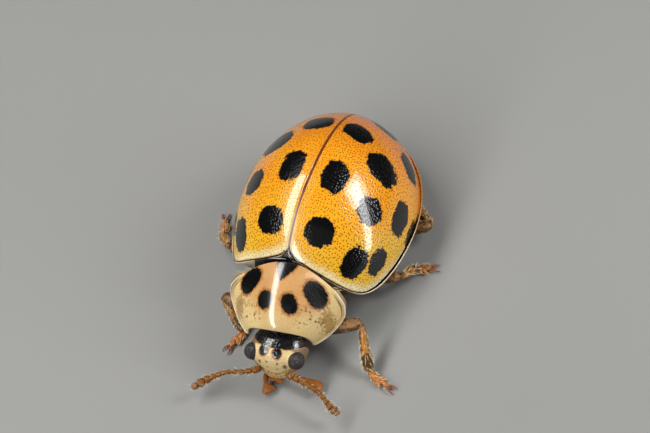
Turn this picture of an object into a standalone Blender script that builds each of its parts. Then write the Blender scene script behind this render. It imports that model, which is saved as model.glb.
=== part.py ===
"""A 22-spot ladybird at life size, standing on its six feet with head and pronotum turned left.

The head points to -Y, +Z is up and +X is the beetle's own left. Shapes are worked out in
millimetres, with y = 0 at the front edge of the wing cases and z = 0 on the floor. Each shell,
body segment and leg segment is its own closed solid, a hair's breadth from its neighbours.
"""

import math

import bmesh
import bpy
import numpy as np
from mathutils import Matrix, Vector

# ---------------------------------------------------------------- driving sizes, in millimetres
MM = 0.001
SEAM = 0.012            # the gap left between neighbouring solids
MERGE = 0.0001          # points nearer than this are one point

RIM_Z = 0.56            # lower rim of the wing cases over the floor
HALF_WIDTH = 1.545      # of both wing cases together, at their widest
WIDEST_Y = 1.36
REAR_REACH = 1.86       # from the widest place to the tail end
FRONT_REACH = 2.08      # of the full oval, which the base edge cuts short
PLAN_POWER = 2.09
DOME_HEIGHT = 1.56      # crest over the rim
PEAK_Y = 1.32
PROFILE_REAR = 1.90
PROFILE_FRONT = 1.69
PROFILE_POWER = 2.19
SECTION_POWER = 1.925
BASE_Y = -0.085         # front edge of the wing cases
SHELL = 0.20            # wall of a wing case
BRIM = 0.05             # turned-out margin of a wing case
CORNER_POWER = 18.0     # how tightly the shoulder corner is rounded

NOTCH_DEPTH = 0.08      # where the scutellum parts the wing cases
NOTCH_HALF = 0.10
SHOULDER_FORWARD = 0.08   # how far the base edge stands forward beyond SHOULDER_X off the middle
SHOULDER_X = 0.35
SCUTELLUM_HALF = 0.115

CORE_FRONT_Y = -0.085
STRIP_FRONT_Y = -0.29   # black strip between the pronotum and the wing cases
STRIP_HALF = 0.62
STRIP_SINK = 0.06       # its top lies this far below the wing cases' front edge
STRIP_SLOPE = 0.36      # and this much lower again where it runs under the pronotum
CORE_SPLIT_Y = 1.22
BELLY_DEPTH = 0.20      # the underside hangs this far below the rim

NECK_YAW = math.radians(7.0)
HEAD_YAW = math.radians(-5.0)   # the face looks a little less to the side than the pronotum
HEAD_PIVOT_Y = -1.45
NECK_TILT = math.radians(3.5)   # the pronotum's left side hangs lower than its right
TILT_Z = 1.05
PRONOTUM_HALF = 1.035
PRONOTUM_BASE_Y = -0.175
PRONOTUM_FRONT_Y = -1.30
PRONOTUM_BASE_Z = 1.505
PRONOTUM_FRONT_Z = 1.025
PRONOTUM_WALL = 0.10
PRONOTUM_SIDE = 0.05    # thickness of its sides beside the head
PRONOTUM_WIDEST = 0.30  # as a share of its length from the base
PROSTERNUM_Z = 0.50

HEAD_CENTRE = (0.0, -1.355, 0.525)
HEAD_RADII = (0.50, 0.40, 0.36)
HEAD_POWER = 2.4        # over 2, so squarer than an egg
CHIN_SHARE = 0.40       # how much the face narrows towards the mouth
CHIN_FORWARD = 0.20
EYE_CENTRE = (0.40, -1.562, 0.655)
EYE_RADII = (0.145, 0.15, 0.16)
EYE_GAP = 0.01

COLOURS = {
    "wing_case": (0.93, 0.43, 0.03),
    "pronotum": (0.78, 0.56, 0.32),
    "black": (0.02, 0.02, 0.02),
    "underside": (0.07, 0.04, 0.03),
    "head": (0.80, 0.62, 0.40),
    "eye": (0.04, 0.04, 0.04),
    "leg": (0.62, 0.36, 0.16),
    "claw": (0.45, 0.16, 0.06),
}


# ------------------------------------------------------------------------ making solids
def material(name):
    found = bpy.data.materials.get(name)
    if found:
        return found
    made = bpy.data.materials.new(name)
    made.use_nodes = True
    shader = made.node_tree.nodes["Principled BSDF"]
    shader.inputs["Base Color"].default_value = (*COLOURS[name], 1.0)
    shader.inputs["Roughness"].default_value = 0.25 if name in ("wing_case", "black") else 0.45
    shader.inputs["Metallic"].default_value = 0.0
    return made


def finish(name, bm, finish_name, parent):
    """Puts a bmesh worked out in millimetres into the scene as one smooth-shaded object."""
    bmesh.ops.remove_doubles(bm, verts=bm.verts, dist=MERGE)
    bmesh.ops.recalc_face_normals(bm, faces=bm.faces)
    bmesh.ops.transform(bm, matrix=Matrix.Scale(MM, 4), verts=bm.verts)
    mesh = bpy.data.meshes.new(name)
    bm.to_mesh(mesh)
    bm.free()
    mesh.materials.append(material(finish_name))
    mesh.shade_smooth()
    mesh.set_sharp_from_angle(angle=math.radians(40))
    made = bpy.data.objects.new(name, mesh)
    bpy.context.scene.collection.objects.link(made)
    made.parent = parent
    return made


def loft(rings, closed=False):
    """A bmesh skinned over rings[i, j]: ring i is a closed loop of points j.

    closed joins the last ring to the first. Otherwise each end ring is filled by strips that
    pair its first half with its second half, so a thin curved ring is filled as well as a round one.
    """
    count, around = rings.shape[:2]
    bm = bmesh.new()
    verts = [[bm.verts.new(point) for point in ring] for ring in rings]
    for i in range(count if closed else count - 1):
        one, two = verts[i], verts[(i + 1) % count]
        for j in range(around):
            k = (j + 1) % around
            bm.faces.new((one[j], one[k], two[k], two[j]))
    if closed:
        return bm
    for ring in (verts[0], verts[-1]):
        for j in range((around - 1) // 2):
            corners = [ring[j], ring[j + 1], ring[around - 2 - j], ring[around - 1 - j]]
            bm.faces.new(list(dict.fromkeys(corners)))
    return bm


def through(points, stations):
    """A smooth curve through the points (Catmull-Rom), read at stations from 0 to 1."""
    points = np.asarray(points, float)
    ends = np.vstack([2 * points[0] - points[1], points, 2 * points[-1] - points[-2]])
    place = np.clip(stations, 0, 1) * (len(points) - 1)
    index = np.minimum(place.astype(int), len(points) - 2)
    t = (place - index)[:, None]
    a, b, c, d = (ends[index + shift] for shift in range(4))
    return 0.5 * (2 * b + (c - a) * t + (2 * a - 5 * b + 4 * c - d) * t**2 + (3 * b - a - 3 * c + d) * t**3)


def tube(path, widths, heights, rings=9, sides=8, cap=0.5, floor=None):
    """An oval tube along a path, its ends rounded off over cap times the end's own radius.

    widths and heights are half sizes along the path, sideways and up. floor flattens the sole.
    """
    stations = 0.5 - 0.5 * np.cos(np.linspace(0, math.pi, rings))
    centres = through(path, stations)
    tangents = np.gradient(centres, axis=0)
    tangents /= np.linalg.norm(tangents, axis=1)[:, None]
    side = np.cross(tangents, (0.0, 0.0, 1.0))
    side /= np.linalg.norm(side, axis=1)[:, None]
    rise = np.cross(side, tangents)
    marks = np.linspace(0, 1, len(widths))
    wide = np.interp(stations, marks, widths)
    high = np.interp(stations, marks, heights)
    lengths = np.concatenate([[0], np.cumsum(np.linalg.norm(np.diff(centres, axis=0), axis=1))])
    to_end = np.minimum(lengths, lengths[-1] - lengths)
    rounded = np.sqrt(np.clip(1 - (1 - to_end / (2 * cap * high)) ** 2, 0, 1))
    rounded = np.where(to_end > 2 * cap * high, 1.0, np.maximum(rounded, 0.35))
    turn = np.linspace(0, 2 * math.pi, sides, endpoint=False)
    across = (wide * rounded)[:, None, None] * np.cos(turn)[None, :, None] * side[:, None]
    upward = (high * rounded)[:, None, None] * np.sin(turn)[None, :, None] * rise[:, None]
    points = centres[:, None] + across + upward
    if floor is not None:
        points[..., 2] = np.maximum(points[..., 2], floor)
    return loft(points)


# ------------------------------------------------------------------------ the dome
def half_width(y, inset=0.0):
    """Half width of the wing-case oval at y: a superellipse about its widest place."""
    reach = np.where(y < WIDEST_Y, FRONT_REACH, REAR_REACH) - inset
    share = np.clip(np.abs((y - WIDEST_Y) / reach), 0, 1)
    return (HALF_WIDTH - inset) * (1 - share**PLAN_POWER) ** (1 / PLAN_POWER)


def crest(y, inset=0.0):
    """Height of the middle line over the rim at y: a superellipse about its peak."""
    reach = np.where(y < PEAK_Y, PROFILE_FRONT, PROFILE_REAR) - inset
    share = np.clip(np.abs((y - PEAK_Y) / reach), 0, 1)
    return (DOME_HEIGHT - inset) * (1 - share**PROFILE_POWER) ** (1 / PROFILE_POWER)


def dome(x, y, inset=0.0):
    """Height of the dome over the floor: the crest falls to the rim along a superellipse."""
    share = np.clip(np.abs(x) / np.maximum(half_width(y, inset), 1e-6), 0, 1)
    return RIM_Z + crest(y, inset) * (1 - share**SECTION_POWER) ** (1 / SECTION_POWER)


def outline(angle, inset, base_y):
    """Distance from (0, WIDEST_Y) to the oval cut off at base_y; angle 0 looks forward."""
    reach = np.where(np.cos(angle) > 0, FRONT_REACH, REAR_REACH) - inset
    across = (np.abs(np.sin(angle)) / (HALF_WIDTH - inset)) ** PLAN_POWER
    along = (np.abs(np.cos(angle)) / reach) ** PLAN_POWER
    oval = (across + along) ** (-1 / PLAN_POWER)
    line = (WIDEST_Y - base_y) / np.maximum(np.cos(angle), 0.05)
    return (oval**-CORNER_POWER + line**-CORNER_POWER) ** (-1 / CORNER_POWER)


def notched_base(angle):
    """The base edge bends back at the scutellum, and forward towards the shoulders."""
    x = (WIDEST_Y - BASE_Y) * np.tan(np.minimum(angle, 0.72))
    notch = NOTCH_DEPTH * np.exp(-((x / NOTCH_HALF) ** 2))
    return BASE_Y + notch - SHOULDER_FORWARD * (1 - np.exp(-((x / SHOULDER_X) ** 2)))


def elytron(name, side, parent):
    """One wing case: a wall between two nested domes, with a narrow turned-out brim."""
    angles = np.concatenate([np.radians([0, 2.2, 4.6, 8]), np.linspace(math.radians(15), math.pi, 22)])
    steps = np.sin(np.linspace(0, math.pi / 2, 11))
    sine, cosine = np.sin(angles)[:, None], np.cos(angles)[:, None]
    outer = outline(angles, 0.0, notched_base(angles))[:, None] * steps
    inner = outline(angles, SHELL, notched_base(angles))[:, None] * steps[::-1]
    x, y = outer * sine, WIDEST_Y - outer * cosine
    top = np.stack([x, y, dome(x, y)], -1)
    x, y = inner * sine, WIDEST_Y - inner * cosine
    under = np.stack([x, y, dome(x, y, SHELL)], -1)
    shoulder = np.clip((np.degrees(angles) - 36) / 18, 0, 1)[:, None]
    out = np.concatenate([sine, -cosine, 0 * sine], 1) * BRIM * shoulder
    lip = top[:, -1] + out
    foot = lip - (0, 0, 0.05)
    rings = np.concatenate([top, lip[:, None], foot[:, None], under], 1)
    rings[..., 0] += SEAM / 2 * (1 - rings[..., 0] / HALF_WIDTH)
    rings[..., 0] *= side
    return finish(name, loft(rings), "wing_case", parent)


def scutellum(parent):
    """A small shield between the wing-case bases, pointed at the back."""
    ys = np.array([BASE_Y + 0.002, -0.072, -0.056, -0.036, -0.012])
    half = np.interp(ys, [BASE_Y, 0.0], [SCUTELLUM_HALF, 0.006])
    top = RIM_Z + crest(ys) + 0.012
    low = top - 0.22
    across = np.array([-1, -0.5, 0, 0.5, 1])
    upper = [[half[i] * u, ys[i], top[i] - 0.03 * abs(u) ** 2] for i in range(5) for u in across]
    lower = [[half[i] * u, ys[i], low[i]] for i in range(5) for u in across[::-1]]
    rings = np.concatenate([np.reshape(upper, (5, 5, 3)), np.reshape(lower, (5, 5, 3))], 1)
    return finish("scutellum", loft(rings), "black", parent)


# ------------------------------------------------------------------------ trunk under the shells
def trunk(parent):
    """The hidden back under the shells and the gently bowed underside, parted by a thin cut."""
    angles = np.linspace(0, 2 * math.pi, 36, endpoint=False)
    folded = np.where(angles > math.pi, 2 * math.pi - angles, angles)
    inset = SHELL + SEAM
    upward = np.sin(np.linspace(0, math.pi / 2, 7))
    downward = np.array([1.0, 0.93, 0.75, 0.45, 0.0])
    edge = outline(folded, inset, CORE_FRONT_Y)[:, None]
    sine, cosine = np.sin(angles)[:, None], np.cos(angles)[:, None]
    x, y = edge * upward * sine, WIDEST_Y - edge * upward * cosine
    back = np.stack([x, y, dome(x, y, inset) - SEAM], -1)
    x, y = edge * downward * sine, WIDEST_Y - edge * downward * cosine
    belly = np.stack([x, y, RIM_Z - 0.03 - BELLY_DEPTH * (1 - downward**2.6) + 0 * x], -1)
    rings = np.concatenate([back, belly], 1)
    whole = loft(rings, closed=True)
    bmesh.ops.remove_doubles(whole, verts=whole.verts, dist=MERGE)
    made = []
    for name, sign in (("metathorax", -1.0), ("abdomen", 1.0)):
        half = whole.copy()
        cut = bmesh.ops.bisect_plane(
            half,
            geom=half.verts[:] + half.edges[:] + half.faces[:],
            plane_co=(0, CORE_SPLIT_Y + sign * SEAM / 2, 0),
            plane_no=(0, -sign, 0),
            clear_outer=True,
        )
        rim = [item for item in cut["geom_cut"] if isinstance(item, bmesh.types.BMEdge)]
        bmesh.ops.holes_fill(half, edges=rim)
        made.append(finish(name, half, "underside", parent))
    whole.free()
    return made


def mesothorax(parent):
    """The narrow segment that shows black between the pronotum and the wing cases."""
    across = np.linspace(-STRIP_HALF, STRIP_HALF, 11)
    top = dome(across, BASE_Y + 0 * across) - STRIP_SINK
    low = RIM_Z - BELLY_DEPTH * (1 - (across / STRIP_HALF) ** 2)
    rear = BASE_Y - SEAM - SHOULDER_FORWARD * (1 - np.exp(-((across / SHOULDER_X) ** 2)))
    front = STRIP_FRONT_Y + across * math.tan(NECK_YAW)
    rings = np.stack([
        np.stack([across, rear, top], -1),
        np.stack([across, 0.7 * rear + 0.3 * front, top - 0.12], -1),
        np.stack([across, front, top - STRIP_SLOPE], -1),
        np.stack([across, front, low + 0.06], -1),
        np.stack([across, 0.4 * rear + 0.6 * front, low], -1),
        np.stack([across, rear, low], -1),
    ], 1)
    return finish("mesothorax", loft(rings), "black", parent)


# ------------------------------------------------------------------------ pronotum and its underside
def pronotum_half(v):
    """Half width of the pronotum at share v of its length: rounded behind, narrower in front."""
    reach = np.where(v < PRONOTUM_WIDEST, PRONOTUM_WIDEST + 0.14, 0.775)
    share = np.clip(np.abs((v - PRONOTUM_WIDEST) / reach), 0, 1)
    return PRONOTUM_HALF * (1 - share**2.5) ** (1 / 2.5)


def pronotum_surface(u, v):
    """Upper surface: u runs across from -1 to 1, v from the base to the head.

    The base and front edges are curves in x, so rows between them never cross. The section is
    a low arch behind and a full one in front, over the head.
    """
    x = u * pronotum_half(v)
    base = PRONOTUM_BASE_Y - 0.28 * x**2
    front = PRONOTUM_FRONT_Y + 0.37 * x**2 + 0.22 * x**6
    middle = PRONOTUM_FRONT_Z + (PRONOTUM_BASE_Z - PRONOTUM_FRONT_Z) * (1 - v**2.6) ** 0.8
    edge = 0.50 + 0.65 * (1 - v) ** 1.9
    z = edge + (middle - edge) * (1 - u**2) ** (1.2 - 0.8 * v**3.5)
    return np.stack([x, base + (front - base) * v, z], -1)


def plate(u, v, drop, inset):
    """Rings of a bowed plate: the surface across, then back again lower, drawn in at the front."""
    across, along = np.meshgrid(u, v)
    upper = pronotum_surface(across, along)
    lower = pronotum_surface(across * (1 - inset), along)
    lower[..., 0] -= inset * across * along**3
    lower[..., 2] -= drop * (1 - 0.25 * across**6)
    return np.concatenate([upper, lower[:, ::-1]], 1)


def pronotum(parent):
    """The curved neck shield, its steep rim faces split the shorter way so that none cross."""
    across = np.sin(np.linspace(-math.pi / 2, math.pi / 2, 15))
    along = 0.5 - 0.5 * np.cos(np.linspace(0, math.pi, 12))
    shield = loft(plate(across, along, PRONOTUM_WALL, PRONOTUM_SIDE))
    bmesh.ops.triangulate(shield, faces=shield.faces)
    return finish("pronotum", shield, "pronotum", parent)


def prosternum(parent):
    """Body of the front segment, under the pronotum, that carries the forelegs and the head."""
    across = np.linspace(-0.6, 0.6, 7)
    along = np.linspace(0.13, 0.46, 4)
    rings = plate(across, along, 0.0, 0.0)
    rings[:, :7, 2] -= PRONOTUM_WALL + 0.05
    rings[:, 7:, 2] = PROSTERNUM_Z + 0.30 * rings[:, 7:, 0] ** 2
    return finish("prosternum", loft(rings), "underside", parent)


# ------------------------------------------------------------------------ head
def ball(centre, radii, segments, rings):
    bm = bmesh.new()
    bmesh.ops.create_uvsphere(bm, u_segments=segments, v_segments=rings, radius=1.0)
    for vert in bm.verts:
        vert.co = Vector(centre) + Vector(vert.co[i] * radii[i] for i in range(3))
    return bm


def head(parent):
    """An upright, forward-facing face that narrows to the mouth, with a socket for each eye."""
    bm = ball((0, 0, 0), (1, 1, 1), 22, 12)
    for vert in bm.verts:
        squared = sum(abs(c) ** HEAD_POWER for c in vert.co) ** (-1 / HEAD_POWER)
        x, y, z = vert.co * squared
        low = max(0.0, -z)
        narrow = 1 - CHIN_SHARE * low**1.6
        vert.co = (
            HEAD_CENTRE[0] + HEAD_RADII[0] * x * narrow,
            HEAD_CENTRE[1] + HEAD_RADII[1] * y - CHIN_FORWARD * low**2,
            HEAD_CENTRE[2] + HEAD_RADII[2] * z,
        )
    made = finish("head", bm, "head", parent)
    for side in (-1, 1):
        centre = (side * EYE_CENTRE[0], *EYE_CENTRE[1:])
        roomy = [radius + EYE_GAP for radius in EYE_RADII]
        socket = finish(f"socket_{side}", ball(centre, roomy, 18, 12), "eye", parent)
        socket.hide_render = True
        socket.display_type = "WIRE"
        cut = made.modifiers.new("socket", "BOOLEAN")
        cut.operation = "DIFFERENCE"
        cut.solver = "EXACT"
        cut.object = socket
        finish(("eye_right", "eye_left")[side > 0], ball(centre, EYE_RADII, 14, 10), "eye", parent)
    return made


def mouth(parent):
    lip = ball((0.0, -1.735, 0.135), (0.15, 0.055, 0.045), 12, 6)
    finish("labrum", lip, "leg", parent)
    chin = ball((0.0, -1.50, 0.095), (0.13, 0.11, 0.06), 12, 6)
    finish("labium", chin, "leg", parent)


# ------------------------------------------------------------------------ feelers and palps
ANTENNAE = {
    "antenna_right": ((-0.018, -1.755, 0.47), (-0.285, -1.885, 0.45), (-0.60, -1.973, 0.42),
                      (-0.865, -2.144, 0.36), (-1.116, -2.359, 0.28)),
    "antenna_left": ((0.445, -1.735, 0.475), (0.725, -1.794, 0.44), (1.079, -1.886, 0.42),
                     (1.346, -2.051, 0.36), (1.544, -2.132, 0.28)),
}
ANTENNA_RADII = (0.062, 0.066, 0.050, 0.048, 0.048, 0.050, 0.054, 0.070, 0.082, 0.078, 0.05)
PALPS = {
    "palp_right": ((-0.005, -1.73, 0.13), (0.03, -1.84, 0.12), (0.16, -1.98, 0.10)),
    "palp_left": ((0.44, -1.60, 0.20), (0.65, -1.61, 0.19), (1.01, -1.68, 0.12)),
}


def feelers(parent):
    for name, path in ANTENNAE.items():
        finish(name, tube(path, ANTENNA_RADII, ANTENNA_RADII, rings=22, sides=7), "leg", parent)
    for name, path in PALPS.items():
        wide, high = (0.045, 0.055, 0.07, 0.115, 0.09), (0.04, 0.045, 0.05, 0.05, 0.035)
        finish(name, tube(path, wide, high, rings=8, sides=8), "leg", parent)


# ------------------------------------------------------------------------ legs
LEGS = {
    # hip, thigh, knee, shin, ankle, sole, toe
    "foreleg_left": ((0.36, -0.66, 0.365), (0.75, -0.58, 0.315), (1.37, -0.50, 0.58),
                     (1.52, -0.82, 0.38), (1.68, -1.12, 0.12), (1.90, -1.22, 0.045), (2.06, -1.27, 0.045)),
    "foreleg_right": ((-0.25, -0.72, 0.385), (-0.62, -0.68, 0.42), (-1.21, -0.61, 0.50),
                      (-0.98, -0.80, 0.30), (-0.73, -0.98, 0.13), (-0.79, -1.13, 0.045),
                      (-0.86, -1.28, 0.045)),
    "midleg_left": ((0.38, 0.46, 0.30), (0.98, 0.55, 0.30), (1.62, 0.65, 0.40),
                    (1.68, 0.85, 0.26), (1.72, 1.03, 0.11), (1.83, 1.09, 0.045), (1.93, 1.13, 0.045)),
    "midleg_right": ((-0.38, 0.46, 0.30), (-0.95, 0.44, 0.29), (-1.50, 0.38, 0.40),
                     (-1.70, 0.58, 0.25), (-1.82, 0.75, 0.11), (-1.89, 0.91, 0.045), (-1.93, 1.04, 0.045)),
    "hindleg_left": ((0.40, 1.36, 0.225), (1.08, 1.57, 0.27), (1.75, 1.79, 0.34),
                     (1.48, 2.01, 0.23), (1.25, 2.19, 0.11), (1.11, 2.34, 0.045), (1.03, 2.48, 0.045)),
    "hindleg_right": ((-0.40, 1.36, 0.225), (-1.02, 1.66, 0.26), (-1.62, 1.98, 0.32),
                      (-1.52, 2.24, 0.22), (-1.44, 2.45, 0.11), (-1.43, 2.63, 0.045), (-1.45, 2.78, 0.045)),
}
JOINT_RADIUS = 0.09     # of the rounded segment ends that meet at a joint
FEMUR_WIDE, FEMUR_HIGH = (0.10, 0.135, 0.15, 0.13, 0.09), (0.09, 0.105, 0.105, 0.10, 0.085)
TIBIA_RADII = (0.060, 0.072, 0.085, 0.095, 0.085)
TARSUS_WIDE, TARSUS_HIGH = (0.055, 0.080, 0.105, 0.095, 0.045), (0.050, 0.055, 0.050, 0.045, 0.040)
CLAW_RADIUS = 0.02


def claws(path):
    """Both claws as one bent tube: from one point back to the foot and out to the other."""
    tip, before = Vector(path[-1]), Vector(path[1])
    ahead = (tip - before).normalized()
    aside = ahead.cross(Vector((0, 0, 1))).normalized()
    start = tip + ahead * 0.025
    arms = []
    for forward, sideways, low in ((0.15, 0.055, 0.02), (0.10, 0.065, 0.032), (0.045, 0.04, 0.04)):
        place = start + ahead * forward
        arms.append([Vector((*(place + aside * sideways * s).xy, low)) for s in (-1, 1)])
    middle = Vector((*(start + ahead * 0.012).xy, 0.042))
    route = [arm[0] for arm in arms] + [middle] + [arm[1] for arm in reversed(arms)]
    radii = (0.012, CLAW_RADIUS, CLAW_RADIUS * 1.25, CLAW_RADIUS, 0.012)
    return tube([tuple(p) for p in route], radii, radii, rings=11, sides=6, cap=0.4)


def draw_back(before, joint, after):
    """How far two rounded ends stop short of the joint: the sharper the bend, the further."""
    bend = (before - joint).angle(after - joint)
    return JOINT_RADIUS * (1 / math.sin(bend / 2) - 1) + SEAM / 2


def segments(joints):
    """Paths of femur, tibia and tarsus, with room at the knee and at the ankle."""
    points = [Vector(p) for p in joints]
    paths = [points[0:3], points[2:5], points[4:7]]
    for upper, lower in zip(paths, paths[1:]):
        joint = upper[2]
        room = draw_back(upper[1], joint, lower[1])
        upper[2] = joint + (upper[1] - joint).normalized() * room
        lower[0] = joint + (lower[1] - joint).normalized() * room
    return [[tuple(point) for point in path] for path in paths]


def legs(parent):
    for name, joints in LEGS.items():
        femur, tibia, tarsus = segments(joints)
        finish(f"{name}_femur", tube(femur, FEMUR_WIDE, FEMUR_HIGH, rings=9), "leg", parent)
        finish(f"{name}_tibia", tube(tibia, TIBIA_RADII, TIBIA_RADII, rings=8), "leg", parent)
        foot = tube(tarsus, TARSUS_WIDE, TARSUS_HIGH, rings=9, floor=0.0)
        finish(f"{name}_tarsus", foot, "leg", parent)
        finish(f"{name}_claws", claws(tarsus), "claw", parent)


# ------------------------------------------------------------------------ assembly
def empty(name, parent=None):
    made = bpy.data.objects.new(name, None)
    bpy.context.scene.collection.objects.link(made)
    made.parent = parent
    return made


def centre_on_floor(stand):
    """Moves everything so that the middle of its box, at the floor, is the world's origin."""
    bpy.context.view_layer.update()
    solids = [o for o in bpy.context.scene.objects if o.type == "MESH" and not o.hide_render]
    corners = [o.matrix_world @ v.co for o in solids for v in o.data.vertices]
    low = Vector(min(c[i] for c in corners) for i in range(3))
    high = Vector(max(c[i] for c in corners) for i in range(3))
    stand.location = (-(low.x + high.x) / 2, -(low.y + high.y) / 2, -low.z)


def main():
    for old in list(bpy.data.objects):
        bpy.data.objects.remove(old)
    stand = empty("ladybird_frame")
    neck = empty("neck_turn", stand)
    neck.rotation_euler = (0, 0, NECK_YAW)
    face = empty("head_turn", neck)
    face.rotation_euler = (0, 0, HEAD_YAW)
    face.location = (MM * HEAD_PIVOT_Y * math.sin(HEAD_YAW), MM * HEAD_PIVOT_Y * (1 - math.cos(HEAD_YAW)), 0)
    elytron("elytron_left", 1, stand)
    elytron("elytron_right", -1, stand)
    scutellum(stand)
    mesothorax(stand)
    trunk(stand)
    shield = empty("shield_tilt", neck)
    shield.rotation_euler = (0, NECK_TILT, 0)
    shield.location = (-MM * TILT_Z * math.sin(NECK_TILT), 0, MM * TILT_Z * (1 - math.cos(NECK_TILT)))
    pronotum(shield)
    prosternum(shield)
    head(face)
    mouth(face)
    feelers(stand)
    legs(stand)
    centre_on_floor(stand)


main()
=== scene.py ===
"""Looks of a life-size 22-spot ladybird: its shells, skin, legs, bristles, finishes and stage.

Shapes are worked out in millimetres in the beetle's own frame: y = 0 at the front edge of the wing
cases, x = 0 at their seam, z = 0 on the floor, head towards -Y. placed() puts them on the frame.
"""

import math

import bmesh
import bpy
import numpy as np
from bpy.props import FloatProperty, FloatVectorProperty, IntProperty, PointerProperty
from mathutils import Matrix, Vector


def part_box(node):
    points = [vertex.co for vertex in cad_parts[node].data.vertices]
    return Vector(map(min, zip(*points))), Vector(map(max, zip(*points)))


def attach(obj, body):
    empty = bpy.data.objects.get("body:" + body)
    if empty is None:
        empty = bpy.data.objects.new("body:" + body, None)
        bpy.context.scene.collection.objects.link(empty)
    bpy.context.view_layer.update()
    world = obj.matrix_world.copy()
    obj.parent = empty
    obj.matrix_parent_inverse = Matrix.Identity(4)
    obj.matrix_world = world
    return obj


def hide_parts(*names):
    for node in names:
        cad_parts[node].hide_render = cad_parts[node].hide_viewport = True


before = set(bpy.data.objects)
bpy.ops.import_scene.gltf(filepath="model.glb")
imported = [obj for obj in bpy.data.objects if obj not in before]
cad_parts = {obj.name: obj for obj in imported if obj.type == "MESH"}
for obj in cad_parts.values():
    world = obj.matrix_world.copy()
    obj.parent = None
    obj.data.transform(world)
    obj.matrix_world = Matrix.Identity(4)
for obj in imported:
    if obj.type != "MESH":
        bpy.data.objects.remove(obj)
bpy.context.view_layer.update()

bl_info = {
    "name": "Spotted ladybird",
    "version": (1, 0, 0),
    "blender": (4, 5, 0),
    "location": "View3D > Sidebar > Ladybird",
    "description": "Builds the surfaces, bristles and finishes of a life-size spotted ladybird",
    "category": "Object",
}

# ------------------------------------------------------------------------ sizes, in millimetres
MM = 0.001
MERGE = 1e-8            # metres: points nearer than this are one point

RIM_Z = 0.56
HALF_WIDTH = 1.545
WIDEST_Y = 1.36
REAR_REACH = 1.86
FRONT_REACH = 2.08
PLAN_POWER = 2.09
DOME_HEIGHT = 1.56
PEAK_Y = 1.32
PROFILE_REAR = 1.90
PROFILE_FRONT = 1.69
PROFILE_POWER = 2.19
SECTION_POWER = 1.925
BASE_Y = -0.085
SHELL = 0.20
BRIM = 0.05
CORNER_POWER = 18.0
NOTCH_DEPTH = 0.08
NOTCH_HALF = 0.10
SHOULDER_FORWARD = 0.08
SHOULDER_X = 0.35
SEAM = 0.012

NECK_YAW = math.radians(7.0)
HEAD_YAW = math.radians(-5.0)
HEAD_PIVOT_Y = -1.45
NECK_TILT = math.radians(3.5)
TILT_Z = 1.05
PRONOTUM_HALF = 1.035
PRONOTUM_BASE_Y = -0.175
PRONOTUM_FRONT_Y = -1.30
PRONOTUM_BASE_Z = 1.505
PRONOTUM_FRONT_Z = 1.025
PRONOTUM_WALL = 0.10
PRONOTUM_WIDEST = 0.30

HEAD_CENTRE = (0.0, -1.355, 0.525)
HEAD_RADII = (0.50, 0.40, 0.36)
HEAD_POWER = 2.4
CHIN_SHARE = 0.40
CHIN_FORWARD = 0.20
EYE_CENTRE = (0.40, -1.562, 0.655)
EYE_RADII = (0.145, 0.15, 0.16)

# The frame's place: its seam and tail end tell where x = 0 and y = 0 are.
LEFT_LOW, LEFT_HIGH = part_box("elytron_left")
_, RIGHT_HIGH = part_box("elytron_right")
ORIGIN = np.array([
    (LEFT_LOW.x + RIGHT_HIGH.x) / 2,
    LEFT_HIGH.y - (WIDEST_Y + REAR_REACH + BRIM) * MM,
    0.0,
])


def placed(points, neck=False, head=False):
    """Millimetres in the beetle's frame to metres on the CAD frame, turned with the neck or the head."""
    points = np.asarray(points, float)
    if neck:
        points = tilted(points)
    if head:
        pivot = (0.0, HEAD_PIVOT_Y, 0.0)
        points = turned(points - pivot, HEAD_YAW) + pivot
    if neck or head:
        points = turned(points, NECK_YAW)
    return points * MM + ORIGIN


def turned(points, angle):
    """Points turned about the vertical through the origin."""
    cosine, sine = math.cos(angle), math.sin(angle)
    x, y, z = np.moveaxis(np.asarray(points, float), -1, 0)
    return np.stack([cosine * x - sine * y, sine * x + cosine * y, z], -1)


def tilted(points):
    """Points of the neck shield leant to the beetle's left, about the line along y at TILT_Z."""
    cosine, sine = math.cos(NECK_TILT), math.sin(NECK_TILT)
    x, y, z = np.moveaxis(points, -1, 0)
    height = z - TILT_Z
    return np.stack([cosine * x + sine * height, y, TILT_Z + cosine * height - sine * x], -1)


# ------------------------------------------------------------------------ meshes from arrays
def mesh_piece(name, shape, material, replaces=(), patches=None):
    """One object that rides on the body: shape is points in metres, faces, and values on the points.

    Points that coincide become one, so poles and seams close, and the faces are turned outwards.
    patches, where given, is each point's place on the map that the bristles' colour is kept on.
    """
    points, faces, values = shape
    mesh = bpy.data.meshes.new(name)
    mesh.from_pydata(points.tolist(), [], faces)
    for key, value in values.items():
        value = np.ascontiguousarray(value, np.float32)
        is_vector = value.ndim > 1 and value.shape[-1] == 3
        kind, field = ("FLOAT_VECTOR", "vector") if is_vector else ("FLOAT", "value")
        mesh.attributes.new(key, kind, "POINT").data.foreach_set(field, value.ravel())
    if patches is not None:
        corners = np.empty(len(mesh.loops), np.int32)
        mesh.loops.foreach_get("vertex_index", corners)
        mesh.uv_layers.new(name="OFBake").data.foreach_set("uv", patches[corners].astype(np.float32).ravel())
    bm = bmesh.new()
    bm.from_mesh(mesh)
    if patches is None:
        bmesh.ops.remove_doubles(bm, verts=bm.verts, dist=MERGE)
        bmesh.ops.dissolve_degenerate(bm, edges=bm.edges, dist=MERGE)
    bmesh.ops.recalc_face_normals(bm, faces=bm.faces)
    bm.to_mesh(mesh)
    bm.free()
    mesh.shade_smooth()
    mesh.materials.append(material)
    made = bpy.data.objects.new(name, mesh)
    bpy.context.scene.collection.objects.link(made)
    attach(made, "root")
    if replaces:
        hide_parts(*replaces)
    return made


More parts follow.
